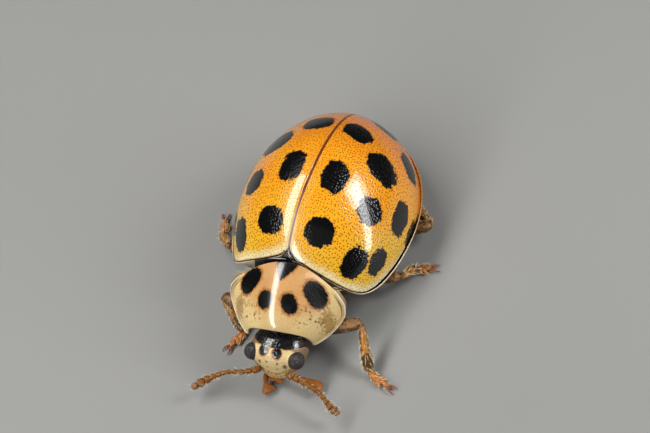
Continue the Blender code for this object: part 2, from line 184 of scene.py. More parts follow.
def grid_faces(rows, columns, around=False, wrapped=False, start=0):
    """Quads of a grid of points; around closes each row on itself, wrapped joins last row to first."""
    i = np.arange(rows if wrapped else rows - 1)[:, None]
    j = np.arange(columns if around else columns - 1)[None, :]
    i2, j2 = (i + 1) % rows, (j + 1) % columns
    corners = [i * columns + j, i * columns + j2, i2 * columns + j2, i2 * columns + j]
    return (np.stack(corners, -1).reshape(-1, 4) + start).tolist()


def lid_faces(columns, row, flip, start=0, first=None):
    """Strips that fill a closed row by pairing its first points with the rest, counted backwards."""
    first = first or (columns + 1) // 2
    j = np.arange(first - 1)
    near = np.round(j * (columns - first - 1) / (first - 1)).astype(int)
    far = np.round((j + 1) * (columns - first - 1) / (first - 1)).astype(int)
    strip = np.stack([j, j + 1, columns - 1 - far, columns - 1 - near], -1) + row * columns + start
    faces = strip[:, ::-1] if flip else strip
    return [list(dict.fromkeys(face)) for face in faces.tolist()]


def tube_faces(rows, columns, start=0, first=None):
    """A closed-round tube with both ends filled."""
    return (grid_faces(rows, columns, around=True, start=start)
            + lid_faces(columns, 0, True, start, first) + lid_faces(columns, rows - 1, False, start, first))


def joined(shapes):
    """Points, faces and values of several (points, faces, values) put into one."""
    points, faces, values, start = [], [], {}, 0
    for shape_points, shape_faces, shape_values in shapes:
        points.append(shape_points)
        faces += [[corner + start for corner in face] for face in shape_faces]
        for key, value in shape_values.items():
            values.setdefault(key, []).append(np.ravel(value))
        start += len(shape_points)
    return np.concatenate(points), faces, {k: np.concatenate(v) for k, v in values.items()}


def smooth_bump(distance, width):
    """1 at distance 0, falling off as a bell of that width."""
    return np.exp(-((distance / width) ** 2))


def ramped(value, low, high):
    """0 below low, 1 above high, smooth between."""
    share = np.clip((value - low) / (high - low), 0, 1)
    return share * share * (3 - 2 * share)


# ------------------------------------------------------------------------ the wing cases' dome
def half_width(y, inset=0.0):
    """Half width of the oval at y: a superellipse about its widest place."""
    reach = np.where(y < WIDEST_Y, FRONT_REACH, REAR_REACH) - inset
    share = np.clip(np.abs((y - WIDEST_Y) / reach), 0, 1)
    return (HALF_WIDTH - inset) * (1 - share**PLAN_POWER) ** (1 / PLAN_POWER)


def crest(y, inset=0.0):
    """Height of the middle line over the rim: a superellipse about its peak."""
    reach = np.where(y < PEAK_Y, PROFILE_FRONT, PROFILE_REAR) - inset
    share = np.clip(np.abs((y - PEAK_Y) / reach), 0, 1)
    return (DOME_HEIGHT - inset) * (1 - share**PROFILE_POWER) ** (1 / PROFILE_POWER)


def dome(x, y, inset=0.0):
    """Height of the dome: the crest falls to the rim along a superellipse across."""
    share = np.clip(np.abs(x) / np.maximum(half_width(y, inset), 1e-6), 0, 1)
    return RIM_Z + crest(y, inset) * (1 - share**SECTION_POWER) ** (1 / SECTION_POWER)


def outline(angle, inset, base_y):
    """Distance from (0, WIDEST_Y) to the oval cut off at base_y; angle 0 looks forward."""
    reach = np.where(np.cos(angle) > 0, FRONT_REACH, REAR_REACH) - inset
    across = (np.abs(np.sin(angle)) / (HALF_WIDTH - inset)) ** PLAN_POWER
    along = (np.abs(np.cos(angle)) / reach) ** PLAN_POWER
    oval = (across + along) ** (-1 / PLAN_POWER)
    line = (WIDEST_Y - base_y) / np.maximum(np.cos(angle), 0.05)
    return (oval**-CORNER_POWER + line**-CORNER_POWER) ** (-1 / CORNER_POWER)


def notched_base(angle):
    """The base edge bends back at the scutellum, and forward towards the shoulders."""
    x = (WIDEST_Y - BASE_Y) * np.tan(np.minimum(angle, 0.72))
    notch = NOTCH_DEPTH * np.exp(-((x / NOTCH_HALF) ** 2))
    return BASE_Y + notch - SHOULDER_FORWARD * (1 - np.exp(-((x / SHOULDER_X) ** 2)))


WING_ROWS, WING_STEPS, INNER_STEPS = 250, 116, 18
SEAM_CROWDING = 0.92    # 0 spreads the rows evenly, and 1 crowds them most towards the seam
# The margin's section outside the dome's edge: how far out and how high its points lie
MARGIN_OUT = np.array([0.004, 0.009, 0.015, 0.020, 0.026, 0.034, 0.041, 0.044, 0.041, 0.032, 0.018])
MARGIN_LIFT = np.array(
    [-0.016, -0.028, -0.034, -0.028, -0.010, -0.002, -0.008, -0.020, -0.032, -0.042, -0.048])
MAP_REACH = 1.95        # half length of the ball that the dome is unrolled from
MAP_ACROSS, MAP_ALONG, MAP_LIMIT = 1.6, 1.75, 0.97
SPOT_POWER = 2.3        # over 2, so squarer than a plain oval
NUDGE = 0.002           # millimetres between the points that give a tangent

# Each spot: place across and along, half length along and half width across, and its turn outward
WING_SPOTS = (
    (0.46, 0.36, 0.25, 0.26, 0),
    (1.07, 0.23, 0.29, 0.22, 25),
    (1.345, 0.51, 0.24, 0.185, 24),
    (0.40, 1.35, 0.31, 0.225, 0),
    (1.08, 1.09, 0.255, 0.245, 0),
    (1.444, 1.37, 0.31, 0.21, -12),
    (1.545, 1.42, 0.24, 0.085, 0),
    (0.99, 1.93, 0.25, 0.34, 12),
    (1.20, 2.41, 0.19, 0.31, 5),
    (0.37, 2.42, 0.22, 0.27, 12),
    (0.56, 2.96, 0.24, 0.30, 0),
)


def on_dome(x, y):
    return np.stack([x, y, dome(x, y)], -1)


def spot_distance(points, spots, surface):
    """Millimetres from each point to the nearest spot's edge, negative inside a spot.

    A spot is an oval on the surface's own tangents at its middle: along runs backwards, and
    across runs outward. A little of the height over the tangent plane counts too.
    """
    nearest = np.full(points.shape[:-1], 1.0)
    for x, y, along, across, turn in spots:
        x, y = np.float64(x), np.float64(y)
        middle = surface(x, y)
        back = surface(x, y + NUDGE) - middle
        back /= np.linalg.norm(back)
        normal = np.cross(surface(x + NUDGE, y) - middle, back)
        normal /= np.linalg.norm(normal)
        out = np.cross(back, normal)
        cosine, sine = math.cos(math.radians(turn)), math.sin(math.radians(turn))
        axis_a = cosine * back + sine * out
        axis_b = cosine * out - sine * back
        away = points - middle
        share = sum(np.abs(away @ axis / reach) ** SPOT_POWER
                    for axis, reach in ((axis_a, along), (axis_b, across), (normal, 2 * across)))
        nearest = np.minimum(nearest, (share ** (1 / SPOT_POWER) - 1) * min(along, across))
    return nearest


def wing_flat(points):
    """The dome unrolled as a transverse Mercator map about the wing case's own middle line."""
    away = points - (0.0, WIDEST_Y, RIM_Z)
    way = away / (HALF_WIDTH, MAP_REACH, DOME_HEIGHT)
    way /= np.maximum(np.linalg.norm(way, axis=-1, keepdims=True), 1e-9)
    half = math.sqrt(0.5)
    middle, across = half * (way[..., 0] + way[..., 2]), half * (way[..., 0] - way[..., 2])
    along = np.arctan2(way[..., 1], middle)
    aside = np.arctanh(np.clip(across, -MAP_LIMIT, MAP_LIMIT))
    return np.stack([MAP_ACROSS * aside, MAP_ALONG * along, 0 * along], -1)


def wing_case_shape(side):
    """A wing case: rows fan out from the dome's middle, each a section from seam to rim and back.

    A row runs over the dome to the outline, over the grooved and beaded margin, and back along
    the inner wall. Rows crowd together at the seam, where a low bead runs along the edge.
    """
    share = np.linspace(0, 1, WING_ROWS)[:, None]
    angles = math.pi * (share - SEAM_CROWDING / (2 * math.pi) * np.sin(2 * math.pi * share))
    sine, cosine = np.sin(angles), np.cos(angles)
    steps = np.sin(np.linspace(0, math.pi / 2, WING_STEPS))
    reach = outline(angles, 0.0, notched_base(angles))
    x, y = reach * steps * sine, WIDEST_Y - reach * steps * cosine
    top = np.stack([x, y, dome(x, y)], -1)
    top[..., 2] += 0.010 * smooth_bump(x - 0.030, 0.014) - 0.022 * smooth_bump(x, 0.010)
    lengths = np.linalg.norm(np.diff(top, axis=1), axis=-1)[:, ::-1]
    inside = np.concatenate([np.cumsum(lengths, 1)[:, ::-1], 0 * reach], 1)

    shoulder = np.clip((np.degrees(angles) - 36) / 18, 0.12, 1)
    out = np.concatenate([sine, -cosine, 0 * sine], 1)[:, None]
    margin = top[:, -1:] + out * (MARGIN_OUT * shoulder)[..., None]
    margin[..., 2] += MARGIN_LIFT

    inner_steps = np.sin(np.linspace(0, math.pi / 2, INNER_STEPS))[::-1]
    within = outline(angles, SHELL, notched_base(angles)) * inner_steps
    x, y = within * sine, WIDEST_Y - within * cosine
    under = np.stack([x, y, dome(x, y, SHELL)], -1)

    rows = np.concatenate([top, margin, under], 1)
    count, columns = rows.shape[:2]
    edge = np.concatenate([inside, -MARGIN_OUT + 0 * angles, np.full((count, INNER_STEPS), -SHELL)], 1)
    spot = np.ones((count, columns))
    spot[:, :WING_STEPS] = spot_distance(top, WING_SPOTS, on_dome)
    values = {
        "edge": edge,
        "spot": spot,
        "seam": rows[..., 0].copy(),
        "front": rows[..., 1] - BASE_Y,
        "low": (rows[..., 2] - RIM_Z) / DOME_HEIGHT,
        "flat": wing_flat(rows).reshape(-1, 3) + (0.0, 0.0, 3.0 * side),
    }
    rows[..., 0] += SEAM / 2 * (1 - rows[..., 0] / HALF_WIDTH)
    rows[..., 0] *= side
    faces = tube_faces(count, columns, first=WING_STEPS)
    return placed(rows.reshape(-1, 3)), faces, values


def pillow(middle, half_wall, distance, roundness, outward=(0.0, 0.0, 1.0)):
    """Two faces either side of a middle surface, meeting in a rounded edge.

    The half thickness grows from nothing at the edge to half_wall over roundness, as a quarter
    circle does. middle is a grid of points, distance how far each is from the edge, and outward
    the way in which the thickness is laid on.
    """
    share = np.clip(distance / roundness, 0, 1)
    thick = half_wall * np.sqrt(np.clip(1 - (1 - share) ** 2, 0, 1))
    wall = thick[..., None] * np.asarray(outward)
    upper, lower = middle + wall, middle - wall
    rows, columns = middle.shape[:2]
    faces = grid_faces(rows, columns)
    below = [face[::-1] for face in grid_faces(rows, columns, start=rows * columns)]
    return np.concatenate([upper.reshape(-1, 3), lower.reshape(-1, 3)]), faces + below


# ------------------------------------------------------------------------ pronotum
# Each spot: place across and share along, half length along and half width across, its turn outward
PRONOTUM_SPOTS = (
    (-0.62, 0.275, 0.265, 0.18, -39),
    (0.56, 0.35, 0.265, 0.185, 50),
    (-0.262, 0.635, 0.165, 0.14, 0),
    (0.18, 0.645, 0.18, 0.135, 30),
)
WEDGE_LENGTH, WEDGE_HALF, WEDGE_LEAN = 0.37, 0.20, 0.05
SMUDGE_X, SMUDGE_Y, SMUDGE_RADIUS = 0.79, 0.82, 0.11
SHIELD_COLUMNS, SHIELD_ROWS = 221, 171
UNDERSIDE_SHIFT = (7.0, 3.0, 0.0)       # so that the lower face has a pattern of its own


def pronotum_half(v):
    """Half width at share v of the length: rounded behind, narrower in front."""
    reach = np.where(v < PRONOTUM_WIDEST, PRONOTUM_WIDEST + 0.14, 0.775)
    share = np.clip(np.abs((v - PRONOTUM_WIDEST) / reach), 0, 1)
    return PRONOTUM_HALF * (1 - share**2.5) ** (1 / 2.5)


def pronotum_surface(u, v):
    """Upper surface: u runs across from -1 to 1, v from the base to the head.

    Base and front edge are curves in x, and the section is a low arch behind and a full one in
    front, over the head.
    """
    x = u * pronotum_half(v)
    base = PRONOTUM_BASE_Y - 0.28 * x**2
    front = PRONOTUM_FRONT_Y + 0.37 * x**2 + 0.22 * x**6
    middle = PRONOTUM_FRONT_Z + (PRONOTUM_BASE_Z - PRONOTUM_FRONT_Z) * (1 - v**2.6) ** 0.8
    edge = 0.50 + 0.65 * (1 - v) ** 1.9
    z = edge + (middle - edge) * (1 - u**2) ** (1.2 - 0.8 * v**3.5)
    return np.stack([x, base + (front - base) * v, z], -1)


def pronotum_at(x, v):
    """The upper surface at x millimetres across and share v along."""
    return pronotum_surface(x / pronotum_half(v), v)


def pronotum_spot_distance(points):
    """Distance to the edge of the nearest spot: two pairs, and a wedge at the base."""
    nearest = spot_distance(points, PRONOTUM_SPOTS, pronotum_at)
    length = (PRONOTUM_BASE_Y - points[..., 1]) / WEDGE_LENGTH
    half = WEDGE_HALF * np.clip(1 - length, 0, 1) ** 0.7
    wedge = np.maximum(np.abs(points[..., 0] + WEDGE_LEAN * length) - half, (length - 1) * WEDGE_LENGTH)
    return np.minimum(nearest, wedge)


def nearest_of(points, line):
    """How far each point of a grid is from the nearest point of a line of points."""
    flat = points.reshape(-1, 3)
    apart = (flat**2).sum(1)[:, None] + (line**2).sum(1)[None, :] - 2 * flat @ line.T
    return np.sqrt(np.clip(apart.min(1), 0, None)).reshape(points.shape[:-1])


def pronotum_shape():
    """A bowed shield with a glassy bead round its sides, thickest in the middle.

    The wall and the bead are laid on along the surface's own normals, by the distance from the edge.
    """
    u = np.sin(np.linspace(-math.pi / 2, math.pi / 2, SHIELD_COLUMNS))[None, :]
    v = (0.5 - 0.5 * np.cos(np.linspace(0, math.pi, SHIELD_ROWS)))[:, None]
    top = pronotum_surface(u + 0 * v, v + 0 * u)
    outward = np.cross(np.gradient(top, axis=0), np.gradient(top, axis=1))
    outward /= np.linalg.norm(outward, axis=-1, keepdims=True)
    to_side = nearest_of(top, np.concatenate([top[:, 0], top[:, -1]]))
    to_end = nearest_of(top, np.concatenate([top[0], top[-1]]))
    distance = np.minimum(to_side, to_end)
    lateral = ramped(to_end - to_side, -0.03, 0.05)
    half_wall = PRONOTUM_WALL / 2 * (1 - 0.55 * ramped(v + 0 * u, 0.70, 0.95))
    bead = 0.020 * smooth_bump(distance - 0.026, 0.014) - 0.014 * smooth_bump(distance - 0.075, 0.024)
    middle = top + outward * (bead * lateral - half_wall)[..., None]
    points, faces = pillow(middle, half_wall, distance, 0.03, outward)
    values = {
        "spot": pronotum_spot_distance(top),
        "edge": distance,
        "lateral": lateral,
        "smudge": np.hypot(np.abs(top[..., 0]) - SMUDGE_X, 0.75 * (top[..., 1] + SMUDGE_Y)) - SMUDGE_RADIUS,
        "across": np.abs(u) + 0 * v,
        "along": v + 0 * u,
    }
    both = {key: np.concatenate([value.ravel(), value.ravel()]) for key, value in values.items()}
    widths = np.linalg.norm(np.diff(top, axis=1), axis=-1)
    reach = np.concatenate([np.zeros((SHIELD_ROWS, 1)), np.cumsum(widths, 1)], 1)
    middle_column = SHIELD_COLUMNS // 2
    reach = reach - reach[:, [middle_column]]
    lengths = np.cumsum(np.linalg.norm(np.diff(top[:, middle_column], axis=0), axis=-1))
    forward = np.concatenate([[0], lengths])[:, None] + 0 * reach
    flat = np.stack([reach, forward, 0 * reach], -1).reshape(-1, 3)
    both["flat"] = np.concatenate([flat, flat + UNDERSIDE_SHIFT])
    return placed(points, neck=True), faces, both


# ------------------------------------------------------------------------ scutellum and black strip
STRIP_FRONT_Y = -0.29
STRIP_HALF = 0.62
STRIP_COLUMNS, STRIP_POINTS = 91, 54
STRIP_SINK = 0.06
STRIP_SLOPE = 0.36
BELLY_DEPTH = 0.20
SCUTELLUM_HALF = 0.125


def closed_curve(corners, count):
    """A closed smooth curve (Catmull-Rom) through corners[..., k, 3], read at count places."""
    total = corners.shape[-2]
    place = np.arange(count) * total / count
    index, t = place.astype(int), (place % 1)[:, None]
    around = [np.take(corners, (index + shift) % total, axis=-2) for shift in (-1, 0, 1, 2)]
    return smooth_between(*around, t)


def smooth_between(a, b, c, d, t):
    """The Catmull-Rom curve's point at t, from 0 at b to 1 at c; a and d are their neighbours."""
    return 0.5 * (2 * b + (c - a) * t + (2 * a - 5 * b + 4 * c - d) * t**2 + (3 * b - a - 3 * c + d) * t**3)


def strip_shape():
    """The narrow segment before the wing cases: a rounded section carried across the body."""
    across = STRIP_HALF * np.sin(np.linspace(-math.pi / 2, math.pi / 2, STRIP_COLUMNS))
    top = dome(across, BASE_Y + 0 * across) - STRIP_SINK
    low = RIM_Z - BELLY_DEPTH * (1 - (across / STRIP_HALF) ** 2)
    rear = BASE_Y - SEAM - SHOULDER_FORWARD * (1 - np.exp(-((across / SHOULDER_X) ** 2)))
    front = STRIP_FRONT_Y + across * math.tan(NECK_YAW)
    shares = ((0.0, top - 0.02), (0.12, top), (0.34, top - 0.11), (0.85, top - 0.30),
              (1.0, top - STRIP_SLOPE), (1.0, low + 0.12), (0.7, low), (0.0, low), (0.0, top - 0.3))
    corners = np.stack([np.stack([across, rear + (front - rear) * share, height], -1)
                        for share, height in shares], 1)
    rows = closed_curve(corners, STRIP_POINTS)
    return placed(rows.reshape(-1, 3)), tube_faces(STRIP_COLUMNS, STRIP_POINTS), {}


def scutellum_shape():
    """A small shield, pointed behind, its face a little crowned."""
    u = np.sin(np.linspace(-math.pi / 2, math.pi / 2, 31))[None, :]
    v = np.linspace(0, 1, 31)[:, None]
    x = u * SCUTELLUM_HALF * (1 - v) ** 0.85
    y = BASE_Y - 0.03 + 0.145 * v + 0 * u
    z = RIM_Z + crest(y) - 0.03 + 0.02 * (1 - u**2)
    distance = np.minimum((1 - np.abs(u)) * SCUTELLUM_HALF * (1 - v), np.minimum(v, 1 - v) * 0.14)
    points, faces = pillow(np.stack([x, y, z], -1), 0.05, distance, 0.025)
    return placed(points), faces, {}


# ------------------------------------------------------------------------ head
HEAD_GRID, EYE_GRID, MOUTH_GRID = (150, 220), (70, 110), (30, 44)
CROWN_Y = 1.522         # how far forward the black crown reaches at the middle
LOBES_X, LOBES_Y, LOBES_APART, LOBES_RADIUS = 0.035, 1.578, 0.122, 0.082
LOBE_STEP = 0.012       # the beetle's left lobe stands this much further forward

# Brown marks on the face: place, and radius
FACE_MARKS = (
    (0.114, -1.722, 0.693, 0.016),
    (-0.087, -1.723, 0.695, 0.014),
    (0.101, -1.751, 0.558, 0.014),
    (-0.079, -1.752, 0.576, 0.012),
    (0.243, -1.713, 0.632, 0.034),
    (-0.221, -1.717, 0.646, 0.026),
)


def ball_grid(rows, columns):
    """Directions over a sphere, rows from the bottom pole to the top pole."""
    tilt = np.linspace(-math.pi / 2, math.pi / 2, rows)[:, None]
    turn = np.linspace(0, 2 * math.pi, columns, endpoint=False)[None, :]
    return np.stack([np.cos(tilt) * np.cos(turn), np.cos(tilt) * np.sin(turn), np.sin(tilt) + 0 * turn], -1)


def eye_depth(points):
    """Millimetres from the nearer eyeball's surface, negative inside it."""
    aside = points.copy()
    aside[..., 0] = np.abs(aside[..., 0])
    share = np.linalg.norm((aside - np.array(EYE_CENTRE)) / np.array(EYE_RADII), axis=-1)
    return (share - 1) * min(EYE_RADII)


def head_shape():
    """A squared egg that narrows to the mouth, with a ridge round each eye and a clypeus edge."""
    way = ball_grid(*HEAD_GRID)
    way = way * ((np.abs(way) ** HEAD_POWER).sum(-1, keepdims=True)) ** (-1 / HEAD_POWER)
    low = np.maximum(0, -way[..., 2])
    narrow = 1 - CHIN_SHARE * low**1.6
    points = np.stack([
        HEAD_RADII[0] * way[..., 0] * narrow,
        HEAD_CENTRE[1] + HEAD_RADII[1] * way[..., 1] - CHIN_FORWARD * low**2,
        HEAD_CENTRE[2] + HEAD_RADII[2] * way[..., 2],
    ], -1)
    outward = points - np.array(HEAD_CENTRE)
    outward /= np.linalg.norm(outward, axis=-1, keepdims=True)
    rim = eye_depth(points)
    face = ramped(-points[..., 1], 1.45, 1.6)
    clypeus = points[..., 2] - (0.41 + 1.6 * (points[..., 0] - 0.03) ** 2)
    across = ramped(0.26 - np.abs(points[..., 0]), 0.0, 0.05)
    ridge = 0.014 * smooth_bump(rim - 0.012, 0.018)
    fold = 0.014 * smooth_bump(clypeus + 0.12, 0.012) - 0.012 * smooth_bump(clypeus, 0.014)
    socket = 0.03 * smooth_bump(np.hypot(np.abs(points[..., 0]) - 0.27, points[..., 2] - 0.46), 0.05)
    points = points + outward * (ridge + face * across * fold - socket * face)[..., None]
    x, y, z = np.moveaxis(points, -1, 0)
    band = 0.35 * x**2 + 3.5 * x**4 - y - CROWN_Y
    ahead = y + LOBES_Y + LOBE_STEP * (x > -LOBES_X)
    lobes = np.hypot(np.abs(x + LOBES_X) - LOBES_APART, ahead) - LOBES_RADIUS
    spots = np.array(FACE_MARKS)[:, None, None]
    marks = np.linalg.norm((points - spots[..., :3]) * (1, 1, 0.8), axis=-1) - spots[..., 3]
    turn = np.arctan2(-(y - HEAD_CENTRE[1]), z - HEAD_CENTRE[2])
    values = {
        "band": np.minimum(band, lobes),
        "clypeus": clypeus,
        "rim": rim,
        "marks": marks.min(0),
        "frontal": face,
        "flat": np.stack([x, 0.38 * turn, 0 * x], -1).reshape(-1, 3),
    }
    return placed(points.reshape(-1, 3), head=True), grid_faces(*HEAD_GRID, around=True), values


def eye_shape(side):
    """A standing oval ball of tiny domed facets; the facets themselves are in its finish."""
    points = np.array(EYE_CENTRE) * (side, 1, 1) + ball_grid(*EYE_GRID) * EYE_RADII
    return placed(points.reshape(-1, 3), head=True), grid_faces(*EYE_GRID, around=True), {}


# ------------------------------------------------------------------------ tubes along a path
def through(points, stations):
    """A smooth curve through the points (Catmull-Rom), read at stations from 0 to 1."""
    points = np.asarray(points, float)
    ends = np.vstack([2 * points[0] - points[1], points, 2 * points[-1] - points[-2]])
    place = np.clip(stations, 0, 1) * (len(points) - 1)
    index = np.minimum(place.astype(int), len(points) - 2)
    t = (place - index)[:, None]
    return smooth_between(*(ends[index + shift] for shift in range(4)), t)


def along_path(path, stations):
    """Middle line and its three directions: onward, sideways and up."""
    centres = through(path, stations)
    onward = np.gradient(centres, axis=0)
    onward /= np.linalg.norm(onward, axis=1)[:, None]
    sideways = np.cross(onward, (0.0, 0.0, 1.0))
    sideways /= np.linalg.norm(sideways, axis=1)[:, None]
    return centres, onward, sideways, np.cross(sideways, onward)


def tube(path, wide, high, rings=40, sides=24, floor=None, values=None):
    """An oval tube: wide and high are functions from the share along to half sizes."""
    stations = 0.5 - 0.5 * np.cos(np.linspace(0, math.pi, rings))
    centres, _, sideways, upward = along_path(path, stations)
    turn = np.linspace(0, 2 * math.pi, sides, endpoint=False)
    across = wide(stations)[:, None, None] * np.cos(turn)[None, :, None] * sideways[:, None]
    rise = high(stations)[:, None, None] * np.sin(turn)[None, :, None] * upward[:, None]
    points = centres[:, None] + across + rise
    if floor is not None:
        points[..., 2] = np.maximum(points[..., 2], floor)
    made = {"along": np.repeat(stations, sides), "upward": np.tile(np.sin(turn), rings)}
    made.update({key: np.full(rings * sides, value) for key, value in (values or {}).items()})
    return points.reshape(-1, 3), tube_faces(rings, sides), made


def profile(*heights):
    """A smooth half size along a tube through evenly spaced heights, rounded to 0 at both ends."""
    marks = np.column_stack([heights, heights, heights])

    def half_size(share):
        size = through(marks, share)[:, 0]
        nearest = np.minimum(share, 1 - share)
        return size * np.sqrt(np.clip(1 - (1 - np.clip(nearest / 0.10, 0, 1)) ** 2, 0.0004, 1))
    return half_size


# ------------------------------------------------------------------------ feelers and mouth parts
ANTENNAE = {
    "antenna_right": ((-0.018, -1.755, 0.47), (-0.285, -1.885, 0.45), (-0.60, -1.973, 0.42),
                      (-0.865, -2.144, 0.36), (-1.116, -2.359, 0.28)),
    "antenna_left": ((0.445, -1.735, 0.475), (0.725, -1.794, 0.44), (1.079, -1.886, 0.42),
                     (1.346, -2.051, 0.36), (1.544, -2.132, 0.28)),
}
ANTENNA_ENDS = (0.0, 0.13, 0.22, 0.32, 0.40, 0.48, 0.555, 0.63, 0.71, 0.805, 0.90, 1.0)
ANTENNA_RINGS, ANTENNA_SIDES = 190, 20
ANTENNA_THICK = (0.064, 0.056, 0.044, 0.043, 0.044, 0.045, 0.047, 0.054, 0.070, 0.080, 0.072)
PALPS = {
    "palp_right": ((-0.005, -1.73, 0.13), (0.03, -1.84, 0.12), (0.16, -1.98, 0.10)),
    "palp_left": ((0.44, -1.60, 0.20), (0.65, -1.61, 0.19), (1.01, -1.68, 0.12)),
}


def antenna_radius(share):
    """Eleven segments, each wider at its far end and drawn in at its joints; the last three a club."""
    ends = np.array(ANTENNA_ENDS)
    index = np.clip(np.searchsorted(ends, share, side="right") - 1, 0, 10)
    inside = (share - ends[index]) / (ends[index + 1] - ends[index])
    thick = np.array(ANTENNA_THICK)[index]
    barrel = 0.70 + 0.30 * np.sin(np.clip(inside, 0, 1) ** 1.3 * math.pi * 0.62)
    neck = 1 - 0.42 * smooth_bump(inside, 0.10) - 0.30 * smooth_bump(inside - 1, 0.07)
    tip = np.sqrt(np.clip(1 - ((share - 0.93) / 0.0705).clip(0, 1) ** 2, 0.003, 1))
    return thick * barrel * neck * tip


def antenna_shape(path):
    points, faces, values = tube(path, antenna_radius, antenna_radius, ANTENNA_RINGS, ANTENNA_SIDES)
    return placed(points), faces, values


def palp_shape(path):
    """A short stalk rooted inside the head and a flat, hatchet-shaped last joint, cut square at its end."""
    base, knee, tip = np.array(path)
    stalk = [base - 0.7 * (knee - base), base, knee]
    hatchet = [knee - 0.1 * (tip - knee), knee + 0.5 * (tip - knee), tip]
    points, faces, values = joined([
        tube(stalk, profile(0.035, 0.05, 0.035), profile(0.035, 0.045, 0.035), 20, 16),
        tube(hatchet, profile(0.03, 0.075, 0.115, 0.10), profile(0.03, 0.042, 0.045, 0.03), 30, 20),
    ])
    return placed(points), faces, values


def mouth_shapes():
    """The upper lip, a low notched pad under the face, and the chin plate behind it."""
    way = ball_grid(*MOUTH_GRID)
    lip = np.array([0.0, -1.735, 0.135]) + way * (0.15, 0.055, 0.045)
    lip[..., 1] += 0.03 * smooth_bump(lip[..., 0], 0.03) * (way[..., 1] < 0)
    chin = np.array([0.0, -1.50, 0.095]) + way * (0.13, 0.11, 0.06)
    faces = grid_faces(*MOUTH_GRID, around=True)
    return [(placed(shape.reshape(-1, 3), head=True), faces, {}) for shape in (lip, chin)]


# ------------------------------------------------------------------------ legs
LEGS = {
    "foreleg_left": ((0.36, -0.66, 0.365), (0.75, -0.58, 0.315), (1.37, -0.50, 0.58),
                     (1.52, -0.82, 0.38), (1.68, -1.12, 0.12), (1.90, -1.22, 0.045), (2.06, -1.27, 0.045)),
    "foreleg_right": ((-0.25, -0.72, 0.385), (-0.62, -0.68, 0.42), (-1.21, -0.61, 0.50),
                      (-0.98, -0.80, 0.30), (-0.73, -0.98, 0.13), (-0.79, -1.13, 0.045),
                      (-0.86, -1.28, 0.045)),
    "midleg_left": ((0.38, 0.46, 0.30), (0.98, 0.55, 0.30), (1.62, 0.65, 0.40),
                    (1.68, 0.85, 0.26), (1.72, 1.03, 0.11), (1.83, 1.09, 0.045), (1.93, 1.13, 0.045)),
    "midleg_right": ((-0.38, 0.46, 0.30), (-0.95, 0.44, 0.29), (-1.50, 0.38, 0.40),
                     (-1.70, 0.58, 0.25), (-1.82, 0.75, 0.11), (-1.89, 0.91, 0.045), (-1.93, 1.04, 0.045)),
    "hindleg_left": ((0.40, 1.36, 0.225), (1.08, 1.57, 0.27), (1.75, 1.79, 0.34),
                     (1.48, 2.01, 0.23), (1.25, 2.19, 0.11), (1.11, 2.34, 0.045), (1.03, 2.48, 0.045)),
    "hindleg_right": ((-0.40, 1.36, 0.225), (-1.02, 1.66, 0.26), (-1.62, 1.98, 0.32),
                      (-1.52, 2.24, 0.22), (-1.44, 2.45, 0.11), (-1.43, 2.63, 0.045), (-1.45, 2.78, 0.045)),
}
FEMUR, TIBIA, TARSUS = 0.0, 1.0, 2.0
TIBIA_WIDE = profile(0.055, 0.068, 0.082, 0.096, 0.086)
TIBIA_HIGH = profile(0.055, 0.066, 0.078, 0.09, 0.08)


def leg_shape(joints):
    """Hip knob, clubbed femur, widening tibia, and a foot of a stalk, a broad pad and a claw joint."""
    hip, thigh, knee, shin, ankle, _, toe = np.array(joints)
    length = np.linalg.norm(toe - ankle)
    onward = (toe - ankle) / length

    def on_foot(share, height):
        place = ankle + onward * length * share
        return np.array([place[0], place[1], height])

    parts = [
        tube([hip, hip + 0.16 * (thigh - hip), hip + 0.34 * (thigh - hip)],
             profile(0.09, 0.115, 0.08), profile(0.08, 0.10, 0.07), 16, 20, values={"part": FEMUR}),
        tube([hip + 0.2 * (thigh - hip), thigh, knee], profile(0.08, 0.125, 0.15, 0.135, 0.10),
             profile(0.075, 0.10, 0.105, 0.10, 0.085), 40, 26, values={"part": FEMUR}),
        tube([knee, shin, ankle], TIBIA_WIDE, TIBIA_HIGH, 44, 24, values={"part": TIBIA}),
        tube([on_foot(-0.06, 0.08), on_foot(0.16, 0.06), on_foot(0.40, 0.048)],
             profile(0.035, 0.06, 0.078, 0.06), profile(0.035, 0.045, 0.047, 0.04), 20, 20,
             0.0, {"part": TARSUS}),
        tube([on_foot(0.30, 0.05), on_foot(0.55, 0.045), on_foot(0.74, 0.042)],
             profile(0.04, 0.09, 0.105, 0.085), profile(0.035, 0.045, 0.042, 0.03), 24, 22,
             0.0, {"part": TARSUS}),
        tube([on_foot(0.60, 0.065), on_foot(0.85, 0.075), on_foot(1.05, 0.055)],
             profile(0.026, 0.03, 0.036, 0.03), profile(0.024, 0.028, 0.034, 0.026), 18, 14,
             values={"part": TARSUS}),
    ]
    points, faces, values = joined(parts)
    return placed(points), faces, values


def claw_shape(joints):
    """Two hooks that spread from the claw joint and curve down to the floor, each with a tooth."""
    toe, sole = np.array(joints[-1]), np.array(joints[-2])
    onward = (toe - sole) / np.linalg.norm(toe - sole)
    aside = np.cross(onward, (0, 0, 1.0))
    parts = []
    for side in (-1, 1):
        def spot(ahead, out, height):
            place = toe + onward * ahead + aside * out * side
            return (place[0], place[1], height)

        hook = [spot(0.0, 0.010, 0.055), spot(0.05, 0.040, 0.062), spot(0.10, 0.060, 0.052),
                spot(0.15, 0.060, 0.030), spot(0.17, 0.048, 0.008)]
        tooth = [spot(0.035, 0.030, 0.055), spot(0.065, 0.025, 0.038), spot(0.075, 0.018, 0.022)]
        parts.append(tube(hook, claw_radius(0.020), claw_radius(0.020), 22, 10))
        parts.append(tube(tooth, claw_radius(0.013), claw_radius(0.013), 10, 8))
    points, faces, values = joined(parts)
    return placed(points), faces, values


